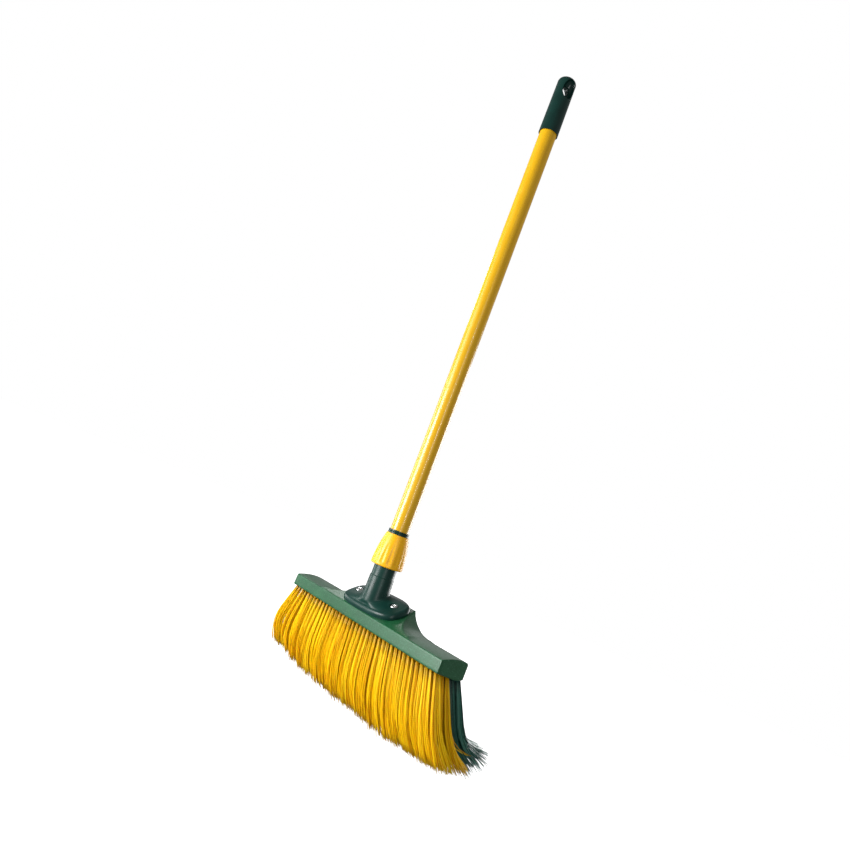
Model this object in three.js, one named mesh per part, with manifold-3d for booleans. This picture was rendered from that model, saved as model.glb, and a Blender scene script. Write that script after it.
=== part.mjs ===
// Push broom with a screw-on socket, a twist-lock nut and a coated steel tube handle.
// Millimetres, +Z up, +X along the block, +Y to the rear.
// The model's origin is the centre of the hang hole in the cap, from which the broom hangs.
// Inside, every piece is placed from the head datum: the handle's axis at the level of the
// block's front top edge.
import * as THREE from "three";
import { mergeVertices } from "three/addons/utils/BufferGeometryUtils.js";
import Module from "manifold-3d";

const wasm = await Module();
wasm.setup();

// ---------------------------------------------------------------- fits
const meshGap = 0.3; // between pieces that touch on the real broom
const slideGap = 0.3; // round the handle tube, all the way down the socket
const roundSegments = 48; // facets of a large round face
const smallSegments = 20; // facets of a screw
const socketSegments = 64; // facets of the socket, whose flange is wide
const domeSteps = 9;
const humpSteps = 10;

// ---------------------------------------------------------------- tube
const tubeRadius = 14;
const tubeWall = 0.8;
const tubeTop = 856;
const boreRadius = tubeRadius + slideGap; // every bore that the tube slides through

// ---------------------------------------------------------------- block
const blockLength = 358;
const blockFront = 17.4; // front face, ahead of the handle's axis
const blockRear = 37.4; // rear face, behind the handle's axis
const blockFrontHeight = 17.5;
const blockCrown = 9; // height of the control point that bows the top up
const blockCrownAt = 14; // where that point lies, behind the axis
const blockRearHeight = 20.8;
const keelDrop = 3.5; // the bottom's long ridge, below the front bottom edge
const keelAt = blockRear - 13.4; // where that ridge lies, ahead of the rear face
const blockCornerRadius = 5; // rear corners, seen from above
const padSlope = THREE.MathUtils.degToRad(30); // sloped pad that carries the socket
const padLength = (blockFront + blockRear) / Math.cos(padSlope); // up the slope
const ridgeHalfLength = 52; // top of the hump, at the rear face
const humpFootHalfLength = 103; // where the hump's sides run out on the bar
const humpTopPull = { across: 4, down: 13.6 }; // how steeply a side leaves the ridge
const humpFootPull = 22; // how gently it meets the bar

// ---------------------------------------------------------------- socket
const handleLean = THREE.MathUtils.degToRad(3); // towards the front
const flangeHalfLength = 59;
const flangeMargin = 1.64; // pad left bare ahead of and behind the flange, on average
const flangeHalfWidth = padLength / 2 - flangeMargin;
const flangeUpSlope = padLength / 2 - 1.24; // centre of the flange, up the pad from its front edge
const flangeAcross = -2; // centre of the flange, to the right of the handle's axis
const flangeTurn = THREE.MathUtils.degToRad(2.6); // the socket sits a little askew on the pad
const flangeRim = 9; // height of the flange's side
const flangeEdgeRadius = 6;
const flangeCrown = 13.5; // height of the dome over the screws
const flangePower = 3.1; // 2 is an ellipse, more is squarer
const neckWall = 3.2; // round the bore, under the thread
const threadRadius = boreRadius + neckWall;
const neckRadius = threadRadius + 0.9;
const neckFootRadius = neckRadius + 0.8;
const neckFoot = 39; // where the neck comes out of its fillet, up the axis
const neckShoulder = 56; // where the neck steps in, up the axis
const neckStep = 1; // height of the step
const neckTop = 100;
const domePull = 0.42; // how far the dome carries on inwards before it turns up
const filletPull = 14; // how far down the neck its fillet begins to form
const boreFloor = 26;
const taperBottom = neckTop - 15.5; // mouth of the bore, that closes the collet
const taperRise = 0.045; // growth in radius for each millimetre upwards

// ---------------------------------------------------------------- socket screws
const screwOffset = 40.3; // to each side of the flange's centre
const screwSeat = 9.2; // height of the recess's floor over the pad
const screwHeadRadius = 5;
const screwHeadHeight = 3.2;
const screwShankRadius = 2.4;
const screwShankLength = 17; // below the pad
const screwPointRadius = 1;
const screwPointLength = 5;
const screwRecessRadius = screwHeadRadius + 1.8;
const crossSlotLength = screwHeadRadius * 1.3;
const crossSlotWidth = 1.5;
const crossSlotDepth = 1.8;

// ---------------------------------------------------------------- collet and lock nut
const colletWall = 0.9; // thin wall where the collet passes through the nut's top
const colletRadius = boreRadius + colletWall;
const colletShoulderRadius = colletRadius + 1.3;
const colletShoulderHeight = 3.2;
const colletBottom = taperBottom + 1;
const colletSlots = 4;
const colletSlotWidth = 2;
const colletSolidRing = 2; // left whole between the slots and the shoulder
const beadRadius = colletRadius + 0.7;
const beadGrooveRadius = colletRadius;
const beadEdge = 0.5;
const beadsHeight = 5.6;
const nutHeight = 49.3;
const nutTop = neckTop + 21;
const nutBottom = nutTop - nutHeight;
const nutTopPlate = 5;
const nutBottomRadius = threadRadius + 6.9;
const nutTopRadius = colletShoulderRadius + 0.6;
const nutLip = 1.6; // rounding of the lower edge
const nutTopEdge = 0.6;
const nutProfileShares = [0.03, 0.1, 0.2, 0.32, 0.46, 0.6, 0.74, 0.87, 0.98];
const nutProfilePower = 1.25; // above 1 the side bulges
const nutFlutes = 14;
const nutFluteDepth = 0.9;
const nutFluteStart = 0.12; // shares of the nut's height over which flutes deepen
const nutFluteRunOut = 0.75;
const threadPitch = 3;

// ---------------------------------------------------------------- handle
const plugFlange = 1.6; // plastic end of the tube, under its edge
const plugLength = 22;
const plugWall = 2;
const capRim = tubeTop - 50; // the cap grips this much of the tube
const capTop = tubeTop + 53;
const capRimRadius = tubeRadius + 2.1;
const capTopRadius = capRimRadius - 0.7;
const capRimBand = 2; // straight band at the rim, below the taper
const capDome = 9;
const capDomeSteps = 6;
const capTurn = THREE.MathUtils.degToRad(-14); // how the handle happens to be turned
const hangHoleHeight = capTop - 24;
const hangHoleWidth = 11;
const hangHoleTall = 15;
const hangWeb = 9.8; // left between the pockets
const hangPocketDepth = capTopRadius - hangWeb / 2;
const hangPocketHalfWidth = 11;
const hangPocketHalfTall = 17;

// ---------------------------------------------------------------- bristles
const rowCount = 5;
const yellowRows = 3;
const rowHalfWidth = 0.072; // shares of the bristled width
const outerRowShare = 0.05; // where the front row's middle lies in that width
const bristleEndInset = 5; // from the block's end to the first tuft
const bristleFrontInset = 2.5; // from the block's front and rear faces
const bristleLengths = { front: 127, rear: 131 };
const bristleLeans = { front: 7.3, rear: 22 }; // degrees at the root, towards the rear
const bristleTipLeans = { front: 42, rear: 83 }; // degrees at the tip
const bristleTipPower = 1.6; // the rear rows take most of the change in tip lean
const bristleBendStart = { front: 0.27, rear: 0.33 }; // shares of the length
const bristleBendEnd = { front: 1, rear: 0.68 };
const bristleFan = THREE.MathUtils.degToRad(17); // sideways lean of the end tufts
const bristleSteps = 14;

// ---------------------------------------------------------------- solids
// A three.js geometry, moved by a matrix, as a solid that can be cut and joined.
function solid(geometry, matrix = new THREE.Matrix4()) {
  const plain = geometry.index ? geometry.toNonIndexed() : geometry.clone();
  plain.deleteAttribute("normal");
  plain.deleteAttribute("uv");
  plain.applyMatrix4(matrix);
  const merged = mergeVertices(plain, 1e-4);
  return new wasm.Manifold(
    new wasm.Mesh({
      numProp: 3,
      vertProperties: merged.attributes.position.array,
      triVerts: new Uint32Array(merged.index.array),
    }),
  );
}

// The geometry of a cut or joined solid, with flat-shaded faces.
function geometryOf(body) {
  const mesh = body.getMesh();
  const geometry = new THREE.BufferGeometry();
  geometry.setAttribute("position", new THREE.BufferAttribute(mesh.vertProperties, 3));
  geometry.setIndex(new THREE.BufferAttribute(mesh.triVerts, 1));
  const faceted = geometry.toNonIndexed();
  faceted.computeVertexNormals();
  return faceted;
}

// A closed profile of [radius, height] pairs, anticlockwise, turned about the Z axis.
function turned(profile, segments = roundSegments) {
  const points = profile.map(([radius, height]) => new THREE.Vector2(radius, height));
  const closed = profile[0][0] === 0 ? points : [...points, points[0].clone()];
  return new THREE.LatheGeometry(closed, segments).rotateX(Math.PI / 2);
}

// An outline in the YZ plane, extruded along X and centred on the YZ plane.
function extrudedAlongX(outline, length) {
  const shape = new THREE.Shape(outline.map(([y, z]) => new THREE.Vector2(y, z)));
  const geometry = new THREE.ExtrudeGeometry(shape, { depth: length, bevelEnabled: false });
  geometry.rotateX(Math.PI / 2).rotateZ(Math.PI / 2);
  return geometry.translate(-length / 2, 0, 0);
}

// An outline in the XZ plane, extruded along +Y from yStart.
function extrudedAlongY(outline, yStart, length) {
  const shape = new THREE.Shape(outline.map(([x, z]) => new THREE.Vector2(x, z)));
  const geometry = new THREE.ExtrudeGeometry(shape, { depth: length, bevelEnabled: false });
  return geometry.rotateX(Math.PI / 2).translate(0, yStart + length, 0);
}

function smooth(x) {
  const t = Math.min(Math.max(x, 0), 1);
  return t * t * (3 - 2 * t);
}

function placed(x, y, z) {
  return new THREE.Matrix4().makeTranslation(x, y, z);
}

// ---------------------------------------------------------------- frames inside the broom
// Up the handle: the head datum, leaned towards the front.
const stemFrame = new THREE.Matrix4().makeRotationX(handleLean);
// On the sloped pad: its origin is the block's front top edge, Y runs up the slope, Z is normal.
const padFrame = placed(0, -blockFront, 0).multiply(new THREE.Matrix4().makeRotationX(padSlope));
const flangeFrame = padFrame
  .clone()
  .multiply(placed(flangeAcross, flangeUpSlope, 0))
  .multiply(new THREE.Matrix4().makeRotationZ(flangeTurn));
const ridgeHeight = (blockFront + blockRear) * Math.tan(padSlope);

// ---------------------------------------------------------------- block pieces
function blockBarOutline() {
  const crown = new THREE.QuadraticBezierCurve(
    new THREE.Vector2(-blockFront, 0),
    new THREE.Vector2(blockCrownAt, blockCrown),
    new THREE.Vector2(blockRear, blockRearHeight - blockFrontHeight),
  );
  const top = crown.getPoints(8).map((point) => [point.x, point.y]);
  const bottom = [
    [blockRear, -blockFrontHeight],
    [keelAt, -blockFrontHeight - keelDrop],
    [-blockFront, -blockFrontHeight],
  ];
  return [...bottom.reverse(), ...top.reverse()];
}

// Seen from above: square front corners and round rear ones.
function blockPlan() {
  const half = blockLength / 2;
  const plan = new THREE.Shape();
  plan.moveTo(-half, -blockFront);
  plan.lineTo(half, -blockFront);
  plan.lineTo(half, blockRear - blockCornerRadius);
  plan.absarc(half - blockCornerRadius, blockRear - blockCornerRadius, blockCornerRadius, 0, Math.PI / 2);
  plan.lineTo(blockCornerRadius - half, blockRear);
  plan.absarc(
    blockCornerRadius - half,
    blockRear - blockCornerRadius,
    blockCornerRadius,
    Math.PI / 2,
    Math.PI,
  );
  return plan;
}

// The hump from behind: a flat top whose sides sweep down to the top of the bar.
function humpOutline() {
  const foot = blockRearHeight - blockFrontHeight;
  const side = new THREE.CubicBezierCurve(
    new THREE.Vector2(ridgeHalfLength, ridgeHeight),
    new THREE.Vector2(ridgeHalfLength + humpTopPull.across, ridgeHeight - humpTopPull.down),
    new THREE.Vector2(humpFootHalfLength - humpFootPull, foot),
    new THREE.Vector2(humpFootHalfLength, foot),
  );
  const right = side.getPoints(humpSteps).map((point) => [point.x, point.y]);
  const left = right.map(([x, z]) => [-x, z]).reverse();
  return [[-humpFootHalfLength, -1], [humpFootHalfLength, -1], ...right.reverse(), ...left.reverse()];
}

function screwFrame(side) {
  return flangeFrame.clone().multiply(placed(side * screwOffset, 0, 0));
}

function blockSolid() {
  const depth = blockFront + blockRear;
  const plan = new THREE.ExtrudeGeometry(blockPlan(), {
    depth: blockFrontHeight * 2 + ridgeHeight,
    bevelEnabled: false,
    curveSegments: 6,
  }).translate(0, 0, -blockFrontHeight * 1.5);
  const bar = solid(extrudedAlongX(blockBarOutline(), blockLength)).intersect(solid(plan));
  const abovePad = new THREE.BoxGeometry(blockLength, depth * 3, ridgeHeight * 4);
  const wedge = solid(extrudedAlongY(humpOutline(), -blockFront, depth)).subtract(
    solid(abovePad, padFrame.clone().multiply(placed(0, 0, ridgeHeight * 2))),
  );
  const hole = turned(
    [
      [0, -screwShankLength - meshGap],
      [screwShankRadius + meshGap, -screwShankLength - meshGap],
      [screwShankRadius + meshGap, screwSeat],
      [0, screwSeat],
    ],
    smallSegments,
  );
  let block = bar.add(wedge);
  for (const side of [-1, 1]) block = block.subtract(solid(hole, screwFrame(side)));
  return block;
}

// ---------------------------------------------------------------- socket pieces
// Distance from the flange's centre to its outline, a superellipse, in a direction.
function flangeReach(angle) {
  const along = Math.abs(Math.cos(angle) / flangeHalfLength) ** flangePower;
  const across = Math.abs(Math.sin(angle) / flangeHalfWidth) ** flangePower;
  return (along + across) ** (-1 / flangePower);
}

// A point over the flange: inset from its outline, and a height over the pad.
function flangePoint(angle, inset, height) {
  const reach = flangeReach(angle) - inset;
  const [x, y] = [reach * Math.cos(angle), reach * Math.sin(angle)];
  return new THREE.Vector3(x, y, height).applyMatrix4(flangeFrame);
}

// A point on a circle round the handle's axis.
function stemPoint(angle, radius, height) {
  const [x, y] = [radius * Math.cos(angle), radius * Math.sin(angle)];
  return new THREE.Vector3(x, y, height).applyMatrix4(stemFrame);
}

// The dome and its fillet, from the flange's soft edge to the foot of the neck.
function domeCurve(angle) {
  const start = flangePoint(angle, flangeEdgeRadius, flangeRim);
  const end = stemPoint(angle, neckFootRadius, neckFoot);
  const span = Math.hypot(end.x - start.x, end.y - start.y) * domePull;
  const inwards = flangePoint(angle, flangeEdgeRadius + span, flangeCrown);
  const downNeck = stemPoint(angle, neckFootRadius, neckFoot - filletPull);
  return new THREE.CubicBezierCurve3(start, inwards, downNeck, end);
}

// A closed body whose rings are given one by one; a ring of equal points closes it.
function lofted(rings) {
  const count = rings[0].length;
  const corner = (ring, i) => rings[ring][i % count];
  const positions = [];
  const addFace = (...corners) => {
    const [p, q, r] = corners;
    if (p.distanceTo(q) < 1e-6 || q.distanceTo(r) < 1e-6 || r.distanceTo(p) < 1e-6) return;
    for (const point of corners) positions.push(point.x, point.y, point.z);
  };
  for (let ring = 0; ring + 1 < rings.length; ring += 1) {
    for (let i = 0; i < count; i += 1) {
      addFace(corner(ring, i), corner(ring, i + 1), corner(ring + 1, i));
      addFace(corner(ring, i + 1), corner(ring + 1, i + 1), corner(ring + 1, i));
    }
  }
  const geometry = new THREE.BufferGeometry();
  return geometry.setAttribute("position", new THREE.Float32BufferAttribute(positions, 3));
}

function socketSolid() {
  const mouthAt = (height) => colletRadius + (height - colletBottom) * taperRise + meshGap;
  const turn = (i) => (i / socketSegments) * 2 * Math.PI;
  const angles = Array.from({ length: socketSegments }, (_, i) => turn(i));
  const ringOf = (place) => angles.map(place);
  const under = new THREE.Vector3(0, 0, meshGap).applyMatrix4(flangeFrame);
  const floor = new THREE.Vector3(0, 0, boreFloor - meshGap).applyMatrix4(stemFrame);
  const rings = [ringOf(() => under.clone()), ringOf((angle) => flangePoint(angle, 0, meshGap))];
  for (const share of [0, 0.25, 0.5, 0.75]) {
    const edge = (share * Math.PI) / 2;
    const inset = flangeEdgeRadius * (1 - Math.cos(edge));
    const height = flangeRim - flangeEdgeRadius * (1 - Math.sin(edge));
    rings.push(ringOf((angle) => flangePoint(angle, inset, height)));
  }
  const domes = angles.map(domeCurve);
  for (let step = 0; step <= domeSteps; step += 1) {
    rings.push(domes.map((curve) => curve.getPoint(step / domeSteps)));
  }
  const stemProfile = [
    [neckRadius, neckShoulder - neckStep],
    [threadRadius, neckShoulder],
    [threadRadius, neckTop],
    [mouthAt(neckTop), neckTop],
    [mouthAt(taperBottom), taperBottom],
    [boreRadius, taperBottom],
    [boreRadius, boreFloor - meshGap],
  ];
  for (const [radius, height] of stemProfile) {
    rings.push(ringOf((angle) => stemPoint(angle, radius, height)));
  }
  rings.push(ringOf(() => floor.clone()));
  const screwCut = turned(
    [
      [0, -1],
      [screwShankRadius + meshGap, -1],
      [screwShankRadius + meshGap, screwSeat],
      [screwRecessRadius, screwSeat],
      [screwRecessRadius, flangeCrown * 2],
      [0, flangeCrown * 2],
    ],
    smallSegments * 2,
  );
  let socket = solid(lofted(rings));
  for (const side of [-1, 1]) socket = socket.subtract(solid(screwCut, screwFrame(side)));
  return socket;
}

// A pan head screw with a cross slot: its seat is at zero and its shank points down.
function screwSolid() {
  const tip = -screwShankLength - screwSeat;
  const body = turned(
    [
      [0, tip],
      [screwPointRadius, tip],
      [screwShankRadius, tip + screwPointLength],
      [screwShankRadius, 0],
      [screwHeadRadius, 0],
      [screwHeadRadius, screwHeadHeight * 0.45],
      [screwHeadRadius * 0.8, screwHeadHeight * 0.85],
      [screwHeadRadius * 0.4, screwHeadHeight],
      [0, screwHeadHeight],
    ],
    smallSegments,
  );
  const slot = new THREE.BoxGeometry(crossSlotLength, crossSlotWidth, crossSlotDepth * 2);
  return solid(body)
    .subtract(solid(slot, placed(0, 0, screwHeadHeight)))
    .subtract(solid(slot.clone().rotateZ(Math.PI / 2), placed(0, 0, screwHeadHeight)));
}

// ---------------------------------------------------------------- collet and nut pieces
function colletSolid() {
  const shoulderTop = nutTop - nutTopPlate - meshGap;
  const shoulderBottom = shoulderTop - colletShoulderHeight;
  const fingerTop = colletRadius + (shoulderBottom - colletBottom) * taperRise;
  const beadBottom = nutTop + meshGap;
  const body = turned([
    [boreRadius, colletBottom],
    [colletRadius, colletBottom],
    [fingerTop, shoulderBottom],
    [colletShoulderRadius, shoulderBottom],
    [colletShoulderRadius, shoulderTop],
    [colletRadius, shoulderTop],
    [colletRadius, beadBottom],
    [beadRadius, beadBottom],
    [beadRadius, beadBottom + beadsHeight * 0.34],
    [beadGrooveRadius, beadBottom + beadsHeight * 0.44],
    [beadGrooveRadius, beadBottom + beadsHeight * 0.56],
    [beadRadius, beadBottom + beadsHeight * 0.66],
    [beadRadius, beadBottom + beadsHeight * 0.88],
    [beadRadius - beadEdge, beadBottom + beadsHeight],
    [boreRadius, beadBottom + beadsHeight],
  ]);
  const slotHeight = shoulderBottom - colletBottom - colletSolidRing;
  const slot = new THREE.BoxGeometry(colletShoulderRadius * 1.5, colletSlotWidth, slotHeight + 1);
  let collet = solid(body);
  for (let i = 0; i < colletSlots; i += 1) {
    const turn = new THREE.Matrix4().makeRotationZ((i * 2 * Math.PI) / colletSlots);
    const reach = placed(colletShoulderRadius, 0, colletBottom + slotHeight / 2 - 0.5);
    collet = collet.subtract(solid(slot, turn.multiply(reach)));
  }
  return collet;
}

// How deep the finger flutes are at a share of the nut's height: deepest low down.
function fluteDepth(share) {
  return nutFluteDepth * smooth(share / nutFluteStart) * smooth((1 - share) / nutFluteRunOut);
}

function nutSolid() {
  const bore = threadRadius + meshGap;
  const plateBottom = nutTop - nutTopPlate;
  const throat = colletRadius + meshGap;
  const upperBore = colletShoulderRadius + meshGap;
  const outer = nutProfileShares.map((share) => [
    nutBottomRadius - (nutBottomRadius - nutTopRadius) * share ** nutProfilePower,
    nutBottom + nutHeight * share,
  ]);
  const skin = turned(
    [
      [0, nutBottom],
      [nutBottomRadius - nutLip, nutBottom],
      ...outer,
      [nutTopRadius - nutTopEdge, nutTop],
      [0, nutTop],
    ],
    nutFlutes * 6,
  );
  const position = skin.attributes.position;
  for (let i = 0; i < position.count; i += 1) {
    const [x, y, z] = [position.getX(i), position.getY(i), position.getZ(i)];
    const wave = (1 - Math.cos(nutFlutes * Math.atan2(y, x))) / 2;
    const shrink = 1 - (fluteDepth((z - nutBottom) / nutHeight) * wave) / nutBottomRadius;
    position.setXY(i, x * shrink, y * shrink);
  }
  const inside = turned([
    [0, nutBottom - 1],
    [bore, nutBottom - 1],
    [bore, neckTop + threadPitch],
    [upperBore, neckTop + threadPitch * 2],
    [upperBore, plateBottom],
    [throat, plateBottom],
    [throat, nutTop + 1],
    [0, nutTop + 1],
  ]);
  return solid(skin).subtract(solid(inside));
}

// ---------------------------------------------------------------- handle pieces
const tubeBottom = boreFloor + plugFlange;

function tubeSolid() {
  const inside = tubeRadius - tubeWall;
  return solid(
    turned([
      [inside, tubeBottom],
      [tubeRadius, tubeBottom],
      [tubeRadius, tubeTop],
      [inside, tubeTop],
    ]),
  );
}

function plugSolid() {
  const outside = tubeRadius - tubeWall - meshGap;
  return solid(
    turned([
      [0, boreFloor],
      [tubeRadius, boreFloor],
      [tubeRadius, tubeBottom - meshGap],
      [outside, tubeBottom - meshGap],
      [outside, boreFloor + plugLength],
      [outside - plugWall, boreFloor + plugLength],
      [outside - plugWall, boreFloor + plugFlange * 2],
      [0, boreFloor + plugFlange * 2],
    ]),
  );
}

function capSolid() {
  const cavity = tubeRadius + meshGap;
  const profile = [
    [0, tubeTop + meshGap],
    [cavity, tubeTop + meshGap],
    [cavity, capRim],
    [capRimRadius, capRim],
    [capRimRadius, capRim + capRimBand],
    [capTopRadius, capTop - capDome],
  ];
  for (let step = 1; step < capDomeSteps; step += 1) {
    const angle = (step / capDomeSteps) * (Math.PI / 2);
    profile.push([capTopRadius * Math.cos(angle), capTop - capDome * (1 - Math.sin(angle))]);
  }
  profile.push([0, capTop]);
  const pocket = new THREE.SphereGeometry(1, 24, 16).scale(
    hangPocketDepth,
    hangPocketHalfWidth,
    hangPocketHalfTall,
  );
  const slot = new THREE.CylinderGeometry(1, 1, capRimRadius * 3, 24)
    .rotateZ(Math.PI / 2)
    .scale(1, hangHoleWidth / 2, hangHoleTall / 2);
  let cap = solid(turned(profile)).subtract(solid(slot, placed(0, 0, hangHoleHeight)));
  for (const side of [-1, 1]) {
    cap = cap.subtract(solid(pocket, placed(side * capTopRadius, 0, hangHoleHeight)));
  }
  return cap;
}

// ---------------------------------------------------------------- bristle rows
function between(ends, share) {
  return ends.front + (ends.rear - ends.front) * share;
}

// The path of a bristle that stands at a share of the block's width: straight, then swept back.
function bristlePath(share) {
  const width = blockFront + blockRear - 2 * bristleFrontInset;
  let y = -blockFront + bristleFrontInset + width * share;
  const keelShare = (y + blockFront) / (keelAt + blockFront);
  const rise = y > keelAt ? (blockRear - y) / (blockRear - keelAt) : keelShare;
  let z = -blockFrontHeight - keelDrop * rise - meshGap;
  const step = between(bristleLengths, share) / bristleSteps;
  const bendStart = between(bristleBendStart, share);
  const path = [[y, z]];
  for (let i = 0; i < bristleSteps; i += 1) {
    const along = (i + 0.5) / bristleSteps;
    const bend = smooth((along - bendStart) / (between(bristleBendEnd, share) - bendStart));
    const lean = between(bristleLeans, share);
    const tipLean = between(bristleTipLeans, Math.max(share, 0) ** bristleTipPower);
    const heading = THREE.MathUtils.degToRad(lean + (tipLean - lean) * bend);
    y += step * Math.sin(heading);
    z -= step * Math.cos(heading);
    path.push([y, z]);
  }
  return path;
}

function rowSolid(row) {
  const centre = outerRowShare + ((1 - 2 * outerRowShare) * row) / (rowCount - 1);
  const front = bristlePath(centre - rowHalfWidth);
  const rear = bristlePath(centre + rowHalfWidth);
  const overKeel = front[0][0] < keelAt && rear[0][0] > keelAt;
  const ridge = overKeel ? [[keelAt, -blockFrontHeight - keelDrop - meshGap]] : [];
  const outline = [...front, ...rear.reverse(), ...ridge];
  const slab = extrudedAlongX(outline, blockLength - 2 * bristleEndInset);
  const position = slab.attributes.position;
  for (let i = 0; i < position.count; i += 1) {
    const depth = Math.max(-blockFrontHeight - position.getZ(i), 0);
    const endShare = position.getX(i) / (blockLength / 2);
    position.setX(i, position.getX(i) + endShare * depth * Math.tan(bristleFan));
  }
  return solid(slab);
}

// ---------------------------------------------------------------- finishes
const greenFoam = new THREE.MeshStandardMaterial({ color: "#4f8f6b", roughness: 0.55 });
const darkGreenMoulding = new THREE.MeshStandardMaterial({ color: "#17403a", roughness: 0.4 });
const yellowMoulding = new THREE.MeshStandardMaterial({ color: "#f7b512", roughness: 0.35 });
const yellowCoating = new THREE.MeshStandardMaterial({ color: "#e8b522", roughness: 0.3 });
const zincPlate = new THREE.MeshStandardMaterial({ color: "#cfd2d2", roughness: 0.3, metalness: 1 });
const yellowBristle = new THREE.MeshStandardMaterial({ color: "#f2b10c", roughness: 0.5 });
const greenBristle = new THREE.MeshStandardMaterial({ color: "#17382f", roughness: 0.5 });

// ---------------------------------------------------------------- assembly
function piece(name, body, material) {
  const mesh = new THREE.Mesh(geometryOf(body), material);
  mesh.name = name;
  return mesh;
}

const head = new THREE.Group();
head.add(piece("block", blockSolid(), greenFoam));
head.add(piece("handle_socket", socketSolid(), darkGreenMoulding));
for (const [side, name] of [[-1, "left"], [1, "right"]]) {
  const screw = piece(`socket_screw_${name}`, screwSolid(), zincPlate);
  const seat = placed(0, 0, screwSeat + meshGap);
  screw.applyMatrix4(screwFrame(side).multiply(seat));
  head.add(screw);
}
for (let row = 0; row < rowCount; row += 1) {
  const yellow = row < yellowRows;
  const name = yellow ? `yellow_bristle_row_${row + 1}` : `green_bristle_row_${row + 1 - yellowRows}`;
  head.add(piece(name, rowSolid(row), yellow ? yellowBristle : greenBristle));
}

const stem = new THREE.Group();
stem.applyMatrix4(stemFrame);
stem.add(piece("grip_collet", colletSolid(), darkGreenMoulding));
stem.add(piece("lock_nut", nutSolid(), yellowMoulding));

const handle = new THREE.Group();
handle.rotation.z = capTurn;
handle.add(piece("handle_tube", tubeSolid(), yellowCoating));
handle.add(piece("tube_end_plug", plugSolid(), darkGreenMoulding));
handle.add(piece("hang_cap", capSolid(), darkGreenMoulding));
stem.add(handle);

const pushBroom = new THREE.Group();
pushBroom.add(head, stem);
const hangHole = new THREE.Vector3(0, 0, hangHoleHeight).applyMatrix4(stemFrame);
pushBroom.position.copy(hangHole).negate();

export default pushBroom;
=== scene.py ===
"""Looks of a push broom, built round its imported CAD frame.

Lengths in the classes are millimetres about the head datum, as the maker would measure them:
the handle's axis at the level of the block's front top edge, +X along the block, +Y to the
rear and +Z up. Datum turns them into the row frame in metres.
"""

import logging
import math
from collections.abc import Sequence
from dataclasses import dataclass
from enum import Enum

import bmesh
import bpy
import numpy as np
from mathutils import Matrix, Vector


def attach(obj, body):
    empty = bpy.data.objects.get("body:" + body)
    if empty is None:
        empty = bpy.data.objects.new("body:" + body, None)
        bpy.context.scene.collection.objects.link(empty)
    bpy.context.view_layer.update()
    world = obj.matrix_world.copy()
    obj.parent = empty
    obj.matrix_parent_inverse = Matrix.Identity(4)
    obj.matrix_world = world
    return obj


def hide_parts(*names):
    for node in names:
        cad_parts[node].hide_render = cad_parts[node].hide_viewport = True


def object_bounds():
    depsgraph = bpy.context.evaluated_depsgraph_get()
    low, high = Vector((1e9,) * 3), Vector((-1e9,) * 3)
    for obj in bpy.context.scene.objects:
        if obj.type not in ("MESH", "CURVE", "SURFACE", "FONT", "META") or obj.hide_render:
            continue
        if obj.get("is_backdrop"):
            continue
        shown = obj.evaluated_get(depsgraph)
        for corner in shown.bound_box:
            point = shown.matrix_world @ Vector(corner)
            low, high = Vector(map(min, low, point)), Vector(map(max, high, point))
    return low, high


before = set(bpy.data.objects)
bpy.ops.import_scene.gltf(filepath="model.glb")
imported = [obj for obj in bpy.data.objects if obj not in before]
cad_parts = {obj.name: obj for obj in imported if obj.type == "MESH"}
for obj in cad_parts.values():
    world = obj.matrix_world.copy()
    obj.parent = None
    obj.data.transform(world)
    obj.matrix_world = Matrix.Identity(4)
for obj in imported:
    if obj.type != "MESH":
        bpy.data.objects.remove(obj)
log = logging.getLogger("push_broom")
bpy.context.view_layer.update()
FULL_TURN = 2.0 * math.pi
# The map on a thread that its finish reads: its tone across, its share of the length up.
FILAMENT_MAP = "FilamentMap"
# Nearly all of a noise's values lie between these.
NOISE_LOW, NOISE_HIGH = 0.3, 0.7
WHITE = (1.0, 1.0, 1.0, 1.0)


# ------------------------------------------------------------------ small mathematics


def smooth_step(x: np.ndarray) -> np.ndarray:
    """Goes from 0 to 1 along 3x^2 - 2x^3, and stays there outside that span."""
    t = np.clip(x, 0.0, 1.0)
    return t * t * (3.0 - 2.0 * t)


def soft_min(a: np.ndarray, b: np.ndarray, radius: np.ndarray | float) -> np.ndarray:
    """The lower of two heights, with a polynomial fillet of about that radius between them."""
    h = np.maximum(radius - np.abs(a - b), 0.0) / radius
    return np.minimum(a, b) - h * h * radius * 0.25


def soft_max(a: np.ndarray, b: np.ndarray, radius: np.ndarray | float) -> np.ndarray:
    """The higher of two heights, with a polynomial fillet of about that radius between them."""
    return -soft_min(-a, -b, radius)


def round_over(distance: np.ndarray, radius: float) -> np.ndarray:
    """How far a surface drops towards a rounded edge: radius less a quarter circle's height."""
    inside = np.clip(radius - distance, 0.0, radius)
    return radius - np.sqrt(np.maximum(radius * radius - inside * inside, 0.0))


def bezier(control: np.ndarray, t: np.ndarray) -> np.ndarray:
    """Points of a cubic Bezier curve.

    Args:
        control: Four control points, of shape (4, ..., k).
        t: Shares of the curve, of shape (n,).

    Returns:
        The points, of shape (n, ..., k): the four points weighted by Bernstein's polynomials.
    """
    u = 1.0 - t
    weights = np.stack([u**3, 3 * u * u * t, 3 * u * t * t, t**3])
    return np.tensordot(weights.T, control, axes=1)


def graded(stops: Sequence[tuple[float, float, int]]) -> np.ndarray:
    """Joins evenly spaced runs, each given as (start, end, number of steps), into one row."""
    runs = [np.linspace(a, b, n + 1)[:-1] for a, b, n in stops]
    return np.concatenate([*runs, [stops[-1][1]]])


def ring_angles(count: int) -> np.ndarray:
    """Evenly spaced angles round a circle, without the last one."""
    return np.arange(count) * FULL_TURN / count


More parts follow.
